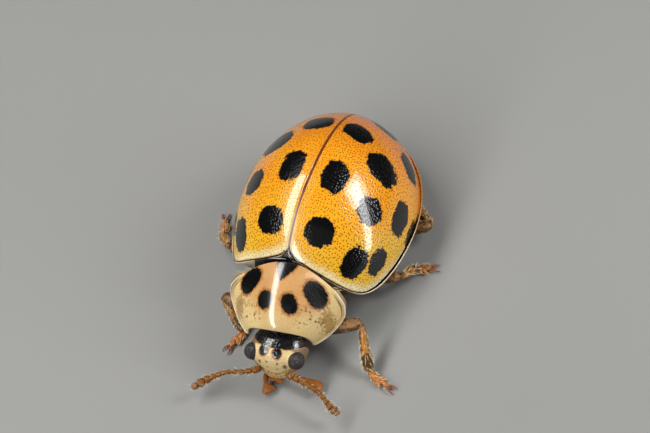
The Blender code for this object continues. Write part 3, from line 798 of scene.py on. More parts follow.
def claw_radius(thick):
    """Half thickness of a hook: full at the root, drawn out to a point."""
    return lambda share: thick * np.clip(1 - share**1.8, 0.06, 1) * np.clip(0.3 + share * 12, 0, 1)


# ------------------------------------------------------------------------ underside
CORE_SPLIT_Y = 1.22
BELLY_COLUMNS, BACK_ROWS, BELLY_ROWS = 220, 14, 90
STERNITES = (1.30, 1.72, 2.02, 2.30, 2.56, 2.80, 3.05)


def belly_shape():
    """Breast and belly as one closed form: the hidden back, and plates that overlap backwards.

    Rings run from the middle of the back over the edge to the middle of the belly. Behind
    CORE_SPLIT_Y the height saws from plate to plate; before it a groove runs down the middle.
    """
    angles = np.linspace(0, 2 * math.pi, BELLY_COLUMNS, endpoint=False)[:, None]
    folded = np.where(angles > math.pi, 2 * math.pi - angles, angles)
    inset = SHELL + SEAM
    edge = outline(folded, inset, BASE_Y)
    sine, cosine = np.sin(angles), np.cos(angles)
    upward = np.sin(np.linspace(0, math.pi / 2, BACK_ROWS))
    downward = np.sin(np.linspace(0, math.pi / 2, BELLY_ROWS))[::-1]
    x, y = edge * upward * sine, WIDEST_Y - edge * upward * cosine
    back = np.stack([x, y, dome(x, y, inset) - SEAM], -1)
    x, y = edge * downward * sine, WIDEST_Y - edge * downward * cosine
    low = RIM_Z - 0.03 - BELLY_DEPTH * (1 - downward**2.6) + 0 * x
    plates = np.array(STERNITES)
    index = np.clip(np.searchsorted(plates, y) - 1, 0, len(plates) - 2)
    share = (y - plates[index]) / (plates[index + 1] - plates[index])
    saw = np.where(y > plates[0], -0.018 * share**3, 0.0)
    groove = np.where(y < CORE_SPLIT_Y, 0.012 * smooth_bump(x, 0.02), 0.0)
    belly = np.stack([x, y, low + (saw + groove) * ramped(1 - downward, 0.0, 0.06)], -1)
    rows = np.concatenate([back, belly], 1)
    count, columns = rows.shape[:2]
    faces = grid_faces(count, columns, wrapped=True)
    values = {"side": np.abs(rows[..., 0]), "plate": np.concatenate([0 * back[..., 0], share], 1)}
    return placed(rows.reshape(-1, 3)), faces, values


# ------------------------------------------------------------------------ bristles
HAIR_STEPS = np.array([0.0, 0.35, 0.7])
HAIR_SIDES = 3
PATCH_SIZE = 0.003      # of a bristle's patch, as a share of the map


def bristle_shape(roots, directions, lengths, thick, bend, patches):
    """Tapered three-sided bristles, bent up or down: rings at HAIR_STEPS of the length, then a point.

    The middle line leaves the root, in metres, along its direction and rises by bend times the share
    squared. Lengths and thickness are in millimetres. patches holds each root's place on the skin's
    own unwrap, where its tiny map patch lies.
    """
    directions = directions / np.linalg.norm(directions, axis=1)[:, None]
    sideways = np.cross(directions, (0.31, 0.22, 0.92))
    sideways /= np.linalg.norm(sideways, axis=1)[:, None]
    upward = np.cross(sideways, directions)

    def middle(share):
        line = directions * share + np.array((0.0, 0.0, bend)) * share**2
        return roots + line * lengths[:, None] * MM

    turn = np.arange(HAIR_SIDES) * 2 * math.pi / HAIR_SIDES
    rings = []
    for share in HAIR_STEPS:
        spread = sideways[:, None] * np.cos(turn)[:, None] + upward[:, None] * np.sin(turn)[:, None]
        rings.append(middle(share)[:, None] + spread * thick * MM * (1 - share**1.5) * 0.5)
    rings.append(middle(1.0)[:, None])
    points = np.concatenate(rings, 1)
    per_hair = points.shape[1]
    tip = per_hair - 1
    faces = [[0, 2, 1]]
    for ring in range(len(HAIR_STEPS) - 1):
        for corner in range(HAIR_SIDES):
            after = (corner + 1) % HAIR_SIDES
            a, b = ring * HAIR_SIDES + corner, ring * HAIR_SIDES + after
            faces.append([a, b, b + HAIR_SIDES, a + HAIR_SIDES])
    last = (len(HAIR_STEPS) - 1) * HAIR_SIDES
    faces += [[last + corner, last + (corner + 1) % HAIR_SIDES, tip] for corner in range(HAIR_SIDES)]
    every = [[corner + hair * per_hair for corner in face] for hair in range(len(roots)) for face in faces]
    spread = np.stack([np.arange(per_hair) % 3, np.arange(per_hair) // 3], -1) / 3 * PATCH_SIZE
    return points.reshape(-1, 3), every, {"patch": np.asarray(patches)[:, None] + spread}


def on_tube(path, half_wide, half_high, shares, turns):
    """Roots, outward directions and onward directions on an oval tube at shares and turns."""
    order = np.argsort(shares)
    shares, turns = shares[order], turns[order]
    dense = np.linspace(0, 1, 200)
    centres, onward, sideways, upward = along_path(path, dense)

    def at(line):
        return np.stack([np.interp(shares, dense, line[:, axis]) for axis in range(3)], -1)

    centre, ahead, side, rise = at(centres), at(onward), at(sideways), at(upward)
    wide, high = half_wide(shares)[:, None], half_high(shares)[:, None]
    cosine, sine = np.cos(turns)[:, None], np.sin(turns)[:, None]
    roots = centre + side * cosine * wide * 0.97 + rise * sine * high * 0.97
    outward = side * cosine / wide + rise * sine / high
    outward /= np.linalg.norm(outward, axis=1)[:, None]
    return roots, outward, ahead, np.stack([shares, turns / (2 * math.pi)], -1)


# ------------------------------------------------------------------------ nodes
def add(tree, kind, inputs=None, **settings):
    """A node; settings are its properties, and inputs its sockets' values or what feeds them."""
    made = tree.nodes.new(kind)
    for key, value in settings.items():
        setattr(made, key, value)
    for key, value in (inputs or {}).items():
        if isinstance(value, Value):
            tree.links.new(value.socket, made.inputs[key])
        else:
            made.inputs[key].default_value = value
    return made


class Value:
    """What a node gives. Sums, differences, products and smooth steps of values are nodes too."""

    def __init__(self, tree, socket):
        self.tree, self.socket = tree, socket

    def __add__(self, other):
        return maths(self.tree, "ADD", self, other)

    def __sub__(self, other):
        return maths(self.tree, "SUBTRACT", self, other)

    def __rsub__(self, other):
        return maths(self.tree, "SUBTRACT", other, self)

    def __mul__(self, other):
        return maths(self.tree, "MULTIPLY", self, other)

    def __rtruediv__(self, other):
        return maths(self.tree, "DIVIDE", other, self)

    def __abs__(self):
        return maths(self.tree, "ABSOLUTE", self)

    def clamped(self):
        return Value(self.tree, add(self.tree, "ShaderNodeClamp", {0: self}).outputs[0])

    def step(self, low, high, to_low=0.0, to_high=1.0):
        """A smooth step from to_low at low to to_high at high, which may be the smaller of the two."""
        if not isinstance(low, Value) and low > high:
            low, high, to_low, to_high = high, low, to_high, to_low
        made = add(self.tree, "ShaderNodeMapRange", {
            "Value": self, "From Min": low, "From Max": high, "To Min": to_low, "To Max": to_high,
        }, interpolation_type="SMOOTHSTEP")
        return Value(self.tree, made.outputs["Result"])


def maths(tree, operation, first, second=0.0):
    made = add(tree, "ShaderNodeMath", {0: first, 1: second}, operation=operation)
    return Value(tree, made.outputs[0])


def noise(tree, place, scale, detail, roughness=0.5):
    made = add(tree, "ShaderNodeTexNoise", {
        "Vector": place, "Scale": scale, "Detail": detail, "Roughness": roughness})
    return Value(tree, made.outputs["Fac"])


def mixed(share, first, second):
    """The first colour with the second laid over it by share."""
    colours = [colour if isinstance(colour, Value) else (*colour, 1.0) for colour in (first, second)]
    made = add(share.tree, "ShaderNodeMix", {0: share, 6: colours[0], 7: colours[1]}, data_type="RGBA")
    return Value(share.tree, made.outputs[2])


def group(name, numbers, outputs):
    """A shader node group that takes a Place and numbers; returns its tree, its inputs and outputs."""
    tree = bpy.data.node_groups.new(name, "ShaderNodeTree")
    tree.interface.new_socket("Place", in_out="INPUT", socket_type="NodeSocketVector")
    for label, value in numbers.items():
        socket = tree.interface.new_socket(label, in_out="INPUT", socket_type="NodeSocketFloat")
        socket.default_value = value
    for label in outputs:
        tree.interface.new_socket(label, in_out="OUTPUT", socket_type="NodeSocketFloat")
    sockets = tree.nodes.new("NodeGroupInput").outputs
    given = {label: Value(tree, sockets[label]) for label in ("Place", *numbers)}
    return tree, given, tree.nodes.new("NodeGroupOutput").inputs


def make_groups():
    """Punctures: dark pits in a pale ring. Ragged: an edge broken by noise. Mottle: soft patches."""
    if "Punctures" in bpy.data.node_groups:
        return
    tree, given, out = group(
        "Punctures", {"Spacing": 0.06, "Pit": 0.2, "Randomness": 0.75}, ("Dots", "Height"))
    cells = Value(tree, add(tree, "ShaderNodeTexVoronoi", {
        "Vector": given["Place"], "Scale": 1.0 / given["Spacing"], "Randomness": given["Randomness"],
    }, voronoi_dimensions="2D", feature="F1").outputs["Distance"])
    dots = cells.step(given["Pit"] * 0.6, given["Pit"] * 1.5, 1.0, 0.0)
    tree.links.new(dots.socket, out["Dots"])
    tree.links.new(cells.step(0.0, 0.5).socket, out["Height"])

    tree, given, out = group(
        "Ragged", {"Distance": 0.0, "Grain": 0.05, "Amount": 0.04, "Softness": 0.01}, ("Inside",))
    waves = noise(tree, given["Place"], 1.0 / given["Grain"], 1.0)
    shifted = given["Distance"] + (waves - 0.5) * given["Amount"]
    inside = shifted.step(given["Softness"] * -1.0, given["Softness"], 1.0, 0.0)
    tree.links.new(inside.socket, out["Inside"])

    tree, given, out = group("Mottle", {"Patch": 0.2, "Low": 0.4, "High": 0.6}, ("Share",))
    clouds = noise(tree, given["Place"], 1.0 / given["Patch"], 4.0, 0.6)
    tree.links.new(clouds.step(given["Low"], given["High"]).socket, out["Share"])


class Finish:
    """A new material, built up by painting one colour over another.

    Its patterns lie on the points' own "flat" map where the piece has one, and otherwise on the
    object's coordinates. Both are in millimetres.
    """

    def __init__(self, name, colour, flat=False, roughness=0.4, specular=0.5, coat_roughness=0.1):
        self.made = bpy.data.materials.new(name)
        self.made.use_nodes = True
        self.tree = self.made.node_tree
        self.inputs = self.tree.nodes["Principled BSDF"].inputs
        self.inputs["Roughness"].default_value = roughness
        self.inputs["Specular IOR Level"].default_value = specular
        self.inputs["Coat Roughness"].default_value = coat_roughness
        self.inputs["Coat IOR"].default_value = COAT_IOR
        self.colour = colour
        if flat:
            place = add(self.tree, "ShaderNodeAttribute", attribute_name="flat").outputs["Vector"]
        else:
            metres = Value(self.tree, add(self.tree, "ShaderNodeTexCoord").outputs["Object"])
            place = add(self.tree, "ShaderNodeVectorMath", {0: metres, "Scale": 1 / MM},
                        operation="SCALE").outputs[0]
        self.place = Value(self.tree, place)

    def read(self, *names):
        """Values that the piece's own points carry."""
        nodes = [add(self.tree, "ShaderNodeAttribute", attribute_name=name) for name in names]
        return [Value(self.tree, node.outputs["Fac"]) for node in nodes]

    def grouped(self, name, **numbers):
        """The outputs of one of make_groups' groups, laid on this finish's place."""
        return add(self.tree, "ShaderNodeGroup", {"Place": self.place, **numbers},
                   node_tree=bpy.data.node_groups[name]).outputs

    def pits(self, spacing, pit, randomness=0.75):
        """Dark pits that far apart: their dots, and the height that falls into them."""
        made = self.grouped("Punctures", Spacing=spacing, Pit=pit, Randomness=randomness)
        return Value(self.tree, made["Dots"]), Value(self.tree, made["Height"])

    def mottle(self, patch, low=0.4, high=0.6):
        """Soft patches of that size."""
        return Value(self.tree, self.grouped("Mottle", Patch=patch, Low=low, High=high)["Share"])

    def ragged(self, distance, grain, amount, softness):
        """1 where distance is under 0, with an edge that wanders by amount in waves of grain."""
        made = self.grouped("Ragged", Distance=distance, Grain=grain, Amount=amount, Softness=softness)
        return Value(self.tree, made["Inside"])

    def noise(self, scale, detail=3.0):
        return noise(self.tree, self.place, scale, detail)

    def paint(self, share, colour):
        """Lays a colour over what is there, by share."""
        self.colour = mixed(share, self.colour, colour)

    def feed(self, name, value):
        self.tree.links.new(value.socket, self.inputs[name])

    def done(self, height=None, depth=0.0):
        """Feeds the colour in, and a bump whose height of 1 is depth millimetres."""
        self.feed("Base Color", self.colour)
        if height is not None:
            bump = add(self.tree, "ShaderNodeBump", {
                "Height": height, "Distance": depth * MM, "Strength": 1.0})
            self.feed("Normal", Value(self.tree, bump.outputs["Normal"]))
        return self.made


# ------------------------------------------------------------------------ finishes
COAT_IOR = 1.7          # a little over horn's own, so that the smooth glare is bright

# Fixed colours of small details
# The blue colour is a painted sheen on black horn
BLACK, BLUE_SHEEN, GROOVE_BLACK = (0.003, 0.003, 0.004), (0.012, 0.012, 0.015), (0.004, 0.003, 0.003)
RIM_RUST, SPOT_RING, SHIELD_RING, CROWN_RING = (
    (0.62, 0.20, 0.015), (0.30, 0.10, 0.01), (0.38, 0.13, 0.025), (0.46, 0.15, 0.02))
CREAM_PIT, SHIELD_PIT, FACE_PIT = (0.30, 0.14, 0.04), (0.30, 0.15, 0.06), (0.32, 0.17, 0.06)
# The glint colours are painted highlights; the glass colour is painted shade where a clear flange is seen
# through
LIP_GLINT, GLASS_GLINT, GLASS_SHADE = (0.90, 0.88, 0.82), (0.88, 0.84, 0.70), (0.50, 0.42, 0.26)
BEAD_REAR, BEAD_FRONT = (0.60, 0.27, 0.05), (0.80, 0.62, 0.36)
# The seam's border and front colours are cream of its raised bead, partly painted highlight
SEAM_BORDER_AND_HIGHLIGHT, SEAM_FRONT_AND_GLINT, SEAM_REAR = (0.85, 0.62, 0.30), (0.62, 0.47, 0.40), (0.20, 0.05, 0.015)
FRECKLE, SMUDGE, SHIELD_LINE, SHIELD_EDGE = (
    (0.17, 0.07, 0.015), (0.26, 0.12, 0.015), (0.20, 0.08, 0.02), (0.24, 0.09, 0.02))
FACE_PATCH, CLYPEUS_GOLD, CLYPEUS_LINE = (0.62, 0.42, 0.20), (0.48, 0.25, 0.05), (0.16, 0.06, 0.012)
HEAD_BACK, FACE_MARK, EYE_RIM = (0.10, 0.05, 0.02), (0.10, 0.052, 0.010), (0.06, 0.03, 0.015)
# The facet colour is a painted highlight on the eyes' facets
EYE_PATCH, FACET_HIGHLIGHT = (0.022, 0.016, 0.016), (0.045, 0.038, 0.04)
FEELER_PATCH, CLUB_TIP = (0.12, 0.035, 0.008), (0.34, 0.20, 0.13)
# The speck colours of thigh, shin and foot are painted glints off fine hairs
THIGH_EDGE, THIGH_DARK, THIGH_GLINT = (0.40, 0.20, 0.07), (0.025, 0.010, 0.005), (0.45, 0.28, 0.14)
SHIN_DARK, SHIN_GLINT, SHIN_STRIPE, SHIN_PATCH = (
    (0.055, 0.022, 0.008), (0.50, 0.32, 0.15), (0.50, 0.19, 0.015), (0.05, 0.018, 0.008))
FOOT_DARK, FOOT_GLINT = (0.20, 0.04, 0.006), (0.75, 0.45, 0.20)
MOUTH_DARK, CLAW_DARK, BRISTLE_DARK = (0.20, 0.07, 0.02), (0.10, 0.02, 0.01), (0.60, 0.42, 0.18)
BELLY, BELLY_DARK, BELLY_SIDE, PLATE_EDGE = (
    (0.06, 0.03, 0.015), (0.02, 0.012, 0.008), (0.50, 0.24, 0.06), (0.30, 0.14, 0.05))
NECK, NECK_DARK, FLOOR_PATCH = (0.09, 0.045, 0.02), (0.03, 0.015, 0.01), (0.22, 0.22, 0.21)


def wing_case_finish(look):
    """Orange-yellow horn: fine dark pits, ragged black spots, a pale shoulder band and a dark seam;
    painted shade darkens the tail end, and painted highlight lies on the groove's lip and along the seam.
    """
    horn = Finish("wing case", look.orange, True, roughness=0.16, specular=0.35, coat_roughness=0.08)
    edge, spot, seam, front, low = horn.read("edge", "spot", "seam", "front", "low")
    dots, pitted = horn.pits(look.pit_spacing, 0.19)
    broad = horn.mottle(0.45, 0.3, 0.7)
    outer = low.step(0.75, 0.1) * front.step(2.4, 0.3)
    yellowing = broad * 0.3 + outer + front.step(1.3, 0.4, 0.0, 0.4)
    horn.paint(yellowing.clamped(), look.yellow)
    # Painted shade: the tail end is darkened as if less light reached it
    horn.paint(front.step(1.6, 3.3, 0.0, 0.95), look.rear)
    horn.paint(dots * 0.85, look.pit)

    band = (edge + broad * 0.10).step(0.34, 0.08) * front.step(1.1, 0.25)
    horn.paint(band * 0.85, look.cream)
    horn.paint(dots * band * 0.6, CREAM_PIT)
    horn.paint(edge.step(0.058, 0.042) * edge.step(-0.004, 0.004) * 0.6, RIM_RUST)
    groove = edge.step(0.036, 0.024) * edge.step(-0.028, -0.020) * front.step(2.05, 1.75)
    horn.paint(groove, GROOVE_BLACK)
    # Painted highlight: broken pale glints along the lip above the margin's groove
    lip = edge.step(0.050, 0.042) * edge.step(0.018, 0.028) * horn.mottle(0.05, 0.42, 0.52)
    horn.paint(lip * front.step(2.2, 1.2) * low.step(0.2, 0.05), LIP_GLINT)
    horn.paint(edge.step(-0.024, -0.030) * 0.9, mixed(front.step(2.4, 1.0), BEAD_REAR, BEAD_FRONT))

    # Pale borders beside the seam's front and its pale front line: the raised bead's cream, partly painted
    # highlight
    horn.paint(seam.step(0.075, 0.045) * front.step(0.75, 0.35) * 0.8, SEAM_BORDER_AND_HIGHLIGHT)
    horn.paint(seam.step(0.022, 0.015) * 0.9, mixed(front.step(0.4, 1.2), SEAM_FRONT_AND_GLINT, SEAM_REAR))

    spot = spot + (horn.noise(6.0, 1.0) - 0.5) * 0.10 - dots * 0.03
    horn.paint(horn.ragged(spot - 0.015, 0.07, 0.075, 0.014) * 0.4, SPOT_RING)
    black = horn.ragged(spot, 0.07, 0.075, 0.008)
    horn.paint(black, look.spot)
    horn.feed("Coat Weight", black.step(0.0, 1.0, 0.60, 0.40))
    return horn.done(pitted * 0.8 + horn.noise(16.0, 2.0) * 0.7, 0.0042)


def pronotum_finish(look):
    """Peach in the middle and cream at the sides, smudged black spots, brown specks, a glassy rim;
    the rim's flange is greyed with painted shade, and its bead carries painted glints.
    """
    horn = Finish("pronotum", look.disc, True, roughness=0.30, specular=0.12, coat_roughness=0.15)
    edge, spot, across, along = horn.read("edge", "spot", "across", "along")
    smudge, lateral = horn.read("smudge", "lateral")
    dots, pitted = horn.pits(0.045, 0.16)
    pale = across.step(0.35, 0.85) + horn.mottle(0.30, 0.3, 0.7) * 0.2
    horn.paint((pale + along.step(0.60, 0.95, 0.0, 0.7)).clamped(), look.side)
    forward = along.step(0.45, 0.70) * across.step(0.25, 0.45) * along.step(0.97, 0.85)
    freckles, _ = horn.pits(0.075, 0.36, 1.0)
    horn.paint(freckles * horn.mottle(0.16, 0.48, 0.60) * forward * 0.85, FRECKLE)
    horn.paint(horn.ragged(smudge, 0.06, 0.26, 0.035) * 0.65, SMUDGE)
    horn.paint(dots * 0.35, SHIELD_PIT)
    horn.paint(horn.ragged(spot - 0.03, 0.06, 0.10, 0.02) * 0.8, SHIELD_RING)
    horn.paint(horn.ragged(spot, 0.05, 0.06, 0.014), look.spot)

    line = edge.step(0.066, 0.078) * edge.step(0.10, 0.085)
    horn.paint(line * lateral * 0.7, SHIELD_LINE)
    # Painted shade: the clear flange greyed as if the dark background showed through it
    horn.paint(edge.step(0.066, 0.050) * lateral * 0.6, GLASS_SHADE)
    # Painted highlight: pale glint lines along the glassy bead of the sides
    bead = edge.step(0.040, 0.030) * edge.step(0.006, 0.014)
    horn.paint(bead * lateral * 0.65, GLASS_GLINT)
    horn.paint(edge.step(0.016, 0.006) * 0.75, SHIELD_EDGE)
    horn.feed("Coat Weight", across.step(0.28, 0.45, 1.0, 0.15))
    return horn.done(pitted * 0.5 + horn.noise(24.0) * 0.6, 0.006)


def black_finish(name):
    """Glossy pitted black horn, with soft patches of painted blue sheen."""
    horn = Finish(name, BLACK, roughness=0.13, specular=1.0)
    horn.inputs["Coat Weight"].default_value = 0.6
    # Painted sheen: soft lighter blue patches over the black
    horn.paint(horn.mottle(0.08) * 0.6, BLUE_SHEEN)
    return horn.done(horn.noise(20.0), 0.022)


def head_finish(look):
    """A cream face under a black, pitted crown, with dark rims round the eyes and a few brown marks."""
    horn = Finish("head", look.face, True, specular=0.8)
    band, clypeus, rim, marks, frontal = horn.read("band", "clypeus", "rim", "marks", "frontal")
    dots, pitted = horn.pits(0.045, 0.2)
    horn.paint(horn.mottle(0.12, 0.35, 0.7) * 0.4, FACE_PATCH)
    horn.paint(dots * 0.45, FACE_PIT)
    golden = clypeus.step(0.02, -0.02) * frontal.step(0.0, 1.0)
    horn.paint(golden * 0.55, CLYPEUS_GOLD)
    specks, _ = horn.pits(0.055, 0.30, 1.0)
    horn.paint(specks * golden * 0.7, CLYPEUS_LINE)
    for middle, half, where in ((0.0, 0.013, frontal), (-0.095, 0.010, golden), (-0.155, 0.010, golden)):
        line = abs(clypeus - middle).step(half, 0.3 * half)
        horn.paint(line * where * 0.8, CLYPEUS_LINE)
    horn.paint(frontal.step(0.25, 0.0) * 0.85, HEAD_BACK)
    horn.paint(horn.ragged(marks - 0.005, 0.03, 0.03, 0.012) * 0.9, FACE_MARK)
    horn.paint(rim.step(0.012, 0.004) * 0.8, EYE_RIM)
    horn.paint(horn.ragged(band - 0.022, 0.03, 0.04, 0.015) * 0.8, CROWN_RING)
    black = horn.ragged(band, 0.03, 0.035, 0.008)
    horn.paint(black, BLACK)
    horn.feed("Roughness", black.step(0.0, 1.0, 0.42, 0.11))
    horn.feed("Coat Weight", black.step(0.0, 1.0, 0.0, 0.45))
    rough = pitted * black.step(0.0, 1.0, 0.3, 4.2)
    return horn.done(rough + horn.noise(30.0) * 0.5, 0.011)


def eye_finish(look):
    """Dark grey-brown, with hundreds of tiny domed facets whose edges carry painted grey highlights."""
    horn = Finish("eye", look.eye, roughness=0.30)
    cells = add(horn.tree, "ShaderNodeTexVoronoi", {
        "Vector": horn.place, "Scale": 38.0, "Randomness": 0.7})
    away = Value(horn.tree, cells.outputs["Distance"])
    horn.paint(horn.mottle(0.05) * 0.5, EYE_PATCH)
    # Painted highlight: facet edges lightened to grey, as glints on the domed facets
    horn.paint(away.step(0.35, 0.65) * 0.5, FACET_HIGHLIGHT)
    return horn.done(1.0 - away, 0.014)


def horn_finish(name, colour, dark, patch=0.10, roughness=0.42):
    """Semi-gloss horn in one colour, mottled with a darker one, finely wrinkled."""
    horn = Finish(name, colour, roughness=roughness, specular=0.2)
    horn.paint(horn.mottle(patch, 0.42, 0.62) * 0.7, dark)
    return horn.done(horn.noise(28.0), 0.006)


def antenna_finish(look):
    """Orange-brown and mottled, with a pale, glassy tip."""
    horn = Finish("antenna", look.antenna, roughness=0.38, specular=0.25)
    horn.paint(horn.mottle(0.06) * 0.6, FEELER_PATCH)
    horn.paint(horn.read("along")[0].step(0.80, 1.0, 0.0, 0.5), CLUB_TIP)
    return horn.done(horn.noise(34.0), 0.006)


def leg_finish(look):
    """Brown femur with a pale edge, mottled tibia with a dark patch near the foot, orange foot, all with
    painted glint specks.
    """
    horn = Finish("leg", look.femur, roughness=0.36, specular=0.2)
    part, along, upward = horn.read("part", "along", "upward")
    mottle, glint_specks = horn.mottle(0.09, 0.40, 0.62), horn.mottle(0.040, 0.48, 0.56)
    horn.paint(upward.step(0.35, 0.85, 0.0, 0.5), THIGH_EDGE)
    horn.paint(mottle * 0.85, THIGH_DARK)
    # Painted highlight: pale specks on the thigh, as glints off fine hairs
    horn.paint(glint_specks * 0.3, THIGH_GLINT)
    tibia = mixed(mottle * 0.9, look.tibia, SHIN_DARK)
    # Painted highlight: pale specks on the shin, as glints off fine hairs
    tibia = mixed(glint_specks * 0.4, tibia, SHIN_GLINT)
    stripe = upward.step(0.82, 0.95) * along.step(0.10, 0.20) * along.step(0.66, 0.58)
    tibia = mixed(stripe * 0.7, tibia, SHIN_STRIPE)
    patch = (along + mottle * 0.10).step(0.62, 0.74) * along.step(0.96, 0.84) * upward.step(0.0, 0.5)
    tibia = mixed(patch * 0.8, tibia, SHIN_PATCH)
    # Painted highlight: pale specks on the foot, as glints off fine hairs
    foot = mixed(glint_specks * 0.35, mixed(mottle * 0.7, look.foot, FOOT_DARK), FOOT_GLINT)
    horn.paint(part.step(0.4, 0.6), tibia)
    horn.paint(part.step(1.4, 1.6), foot)
    return horn.done(horn.noise(30.0), 0.008)


def bristle_finish(look):
    """Pale straw, in patches a little darker."""
    straw = Finish("bristles", look.colour, roughness=0.45)
    straw.paint(straw.mottle(0.2) * 0.5, BRISTLE_DARK)
    return straw.done()


def belly_finish():
    """Dark brown plates with paler rear edges, fading to orange at the sides."""
    horn = Finish("underside", BELLY, roughness=0.42)
    side, plate = horn.read("side", "plate")
    horn.paint(horn.mottle(0.10) * 0.5, BELLY_DARK)
    horn.paint(side.step(0.7, 1.25, 0.0, 0.8), BELLY_SIDE)
    horn.paint(plate.step(0.85, 1.0, 0.0, 0.5), PLATE_EDGE)
    return horn.done(horn.noise(24.0), 0.010)


def floor_finish(look):
    """A plain grey board, very faintly uneven."""
    board = Finish("floor", look.floor, roughness=0.7, specular=0.2)
    board.paint(board.mottle(3.0, 0.2, 0.8) * 0.05, FLOOR_PATCH)
    return board.done()


# ------------------------------------------------------------------------ settings
def colour_of(label, about, red, green, blue):
    return FloatVectorProperty(name=label, description=about, default=(red, green, blue), subtype="COLOR",
                               size=3, min=0.0, max=1.0)


class WingLook(bpy.types.PropertyGroup):
    orange: colour_of("Orange", "Main colour of the wing cases", 0.90, 0.315, 0.008)
    yellow: colour_of("Yellow", "Colour towards the outer shoulders", 0.80, 0.46, 0.022)
    # The rear colour is painted shade: it darkens the tail end as if less light reached it
    rear: colour_of("Rear", "Colour towards the tail end", 0.60, 0.145, 0.010)
    cream: colour_of("Cream", "Band along the shoulders", 0.86, 0.82, 0.50)
    pit: colour_of("Pits", "Colour of the fine pits", 0.11, 0.028, 0.003)
    spot: colour_of("Spots", "Colour of the spots", 0.002, 0.002, 0.002)
    pit_spacing: FloatProperty(name="Pit spacing", description="Distance between pits, in millimetres",
                               default=0.060, min=0.03, max=0.2)


class PronotumLook(bpy.types.PropertyGroup):
    disc: colour_of("Disc", "Colour in the middle", 0.58, 0.30, 0.105)
    side: colour_of("Sides", "Colour towards the sides", 0.70, 0.52, 0.235)
    spot: colour_of("Spots", "Colour of the spots", 0.002, 0.002, 0.002)


class HeadLook(bpy.types.PropertyGroup):
    face: colour_of("Face", "Colour of the face", 0.70, 0.53, 0.24)
    eye: colour_of("Eyes", "Colour of the eyes", 0.008, 0.006, 0.006)
    antenna: colour_of("Feelers", "Colour of the feelers", 0.23, 0.082, 0.011)
    mouth: colour_of("Mouth", "Colour of the lip and palps", 0.32, 0.11, 0.018)


class LegLook(bpy.types.PropertyGroup):
    femur: colour_of("Thigh", "Colour of the femur", 0.12, 0.052, 0.018)
    tibia: colour_of("Shin", "Colour of the tibia", 0.24, 0.095, 0.018)
    foot: colour_of("Foot", "Colour of the tarsus", 0.48, 0.15, 0.014)
    claw: colour_of("Claws", "Colour of the claws", 0.34, 0.09, 0.02)


class HairLook(bpy.types.PropertyGroup):
    colour: colour_of("Bristles", "Colour of the bristles", 0.85, 0.72, 0.42)
    per_leg: IntProperty(name="Leg bristles", description="Bristles on each leg", default=150,
                         min=0, max=600)
    per_antenna: IntProperty(name="Feeler bristles", description="Bristles on each feeler", default=110,
                             min=0, max=600)
    length: FloatProperty(name="Length", description="Length of the long bristles, in millimetres",
                          default=0.16, min=0.02, max=0.5)


class StageLook(bpy.types.PropertyGroup):
    floor: colour_of("Floor", "Colour of the floor", 0.28, 0.28, 0.27)
    azimuth: FloatProperty(name="Azimuth", description="Camera's turn from straight ahead", subtype="ANGLE",
                           default=math.radians(36.432))
    elevation: FloatProperty(name="Elevation", description="Camera's height over the floor", subtype="ANGLE",
                             default=math.radians(56.586))
    roll: FloatProperty(name="Roll", description="Camera's turn about its own axis", subtype="ANGLE",
                        default=math.radians(-17.44))
    distance: FloatProperty(name="Distance", description="Camera's distance", subtype="DISTANCE",
                            unit="LENGTH", default=0.0783)
    lens: FloatProperty(name="Lens", description="Focal length in millimetres", default=251.575)


LOOKS = {
    "ladybird_wings": WingLook,
    "ladybird_pronotum": PronotumLook,
    "ladybird_head": HeadLook,
    "ladybird_legs": LegLook,
    "ladybird_hairs": HairLook,
    "ladybird_stage": StageLook,
}


# ------------------------------------------------------------------------ operators
SIDES = (("left", 1), ("right", -1))


class Piece:
    """What the operators share: each builds its pieces from its settings, and says that it is done."""

    bl_options = {"REGISTER", "UNDO"}
    settings = None

    def execute(self, context):
        self.build(getattr(context.scene, self.settings) if self.settings else None)
        return {"FINISHED"}


class BuildWingCases(Piece, bpy.types.Operator):
    """Both wing cases: spotted domes with a beaded margin"""

    bl_idname = "ladybird.wing_cases"
    bl_label = "Wing Cases"
    settings = "ladybird_wings"

    def build(self, look):
        material = wing_case_finish(look)
        for name, side in SIDES:
            shape = wing_case_shape(side)
            mesh_piece(f"wing_case_{name}", shape, material, [f"elytron_{name}"])


class BuildWaist(Piece, bpy.types.Operator):
    """The black strip before the wing cases, and the scutellum"""

    bl_idname = "ladybird.waist"
    bl_label = "Strip and Scutellum"

    def build(self, look):
        mesh_piece("strip", strip_shape(), black_finish("black strip"), ["mesothorax"])
        mesh_piece("little_shield", scutellum_shape(), black_finish("little shield"), ["scutellum"])


class BuildPronotum(Piece, bpy.types.Operator):
    """The spotted neck shield"""

    bl_idname = "ladybird.pronotum"
    bl_label = "Pronotum"
    settings = "ladybird_pronotum"

    def build(self, look):
        mesh_piece("neck_shield", pronotum_shape(), pronotum_finish(look), ["pronotum"])


class BuildHead(Piece, bpy.types.Operator):
    """The head and both eyes"""

    bl_idname = "ladybird.head"
    bl_label = "Head and Eyes"
    settings = "ladybird_head"

    def build(self, look):
        mesh_piece("face", head_shape(), head_finish(look), ["head"])
        material = eye_finish(look)
        for name, side in SIDES:
            mesh_piece(f"eyeball_{name}", eye_shape(side), material, [f"eye_{name}"])


class BuildMouth(Piece, bpy.types.Operator):
    """Upper lip, chin plate and the two hatchet-ended palps"""

    bl_idname = "ladybird.mouth"
    bl_label = "Mouth Parts"
    settings = "ladybird_head"

    def build(self, look):
        material = horn_finish("mouth", look.mouth, MOUTH_DARK, patch=0.05)
        lip, chin = mouth_shapes()
        mesh_piece("upper_lip", lip, material, ["labrum"])
        mesh_piece("chin", chin, material, ["labium"])
        for name, path in PALPS.items():
            mesh_piece(f"mouth_{name}", palp_shape(path), material, [name])


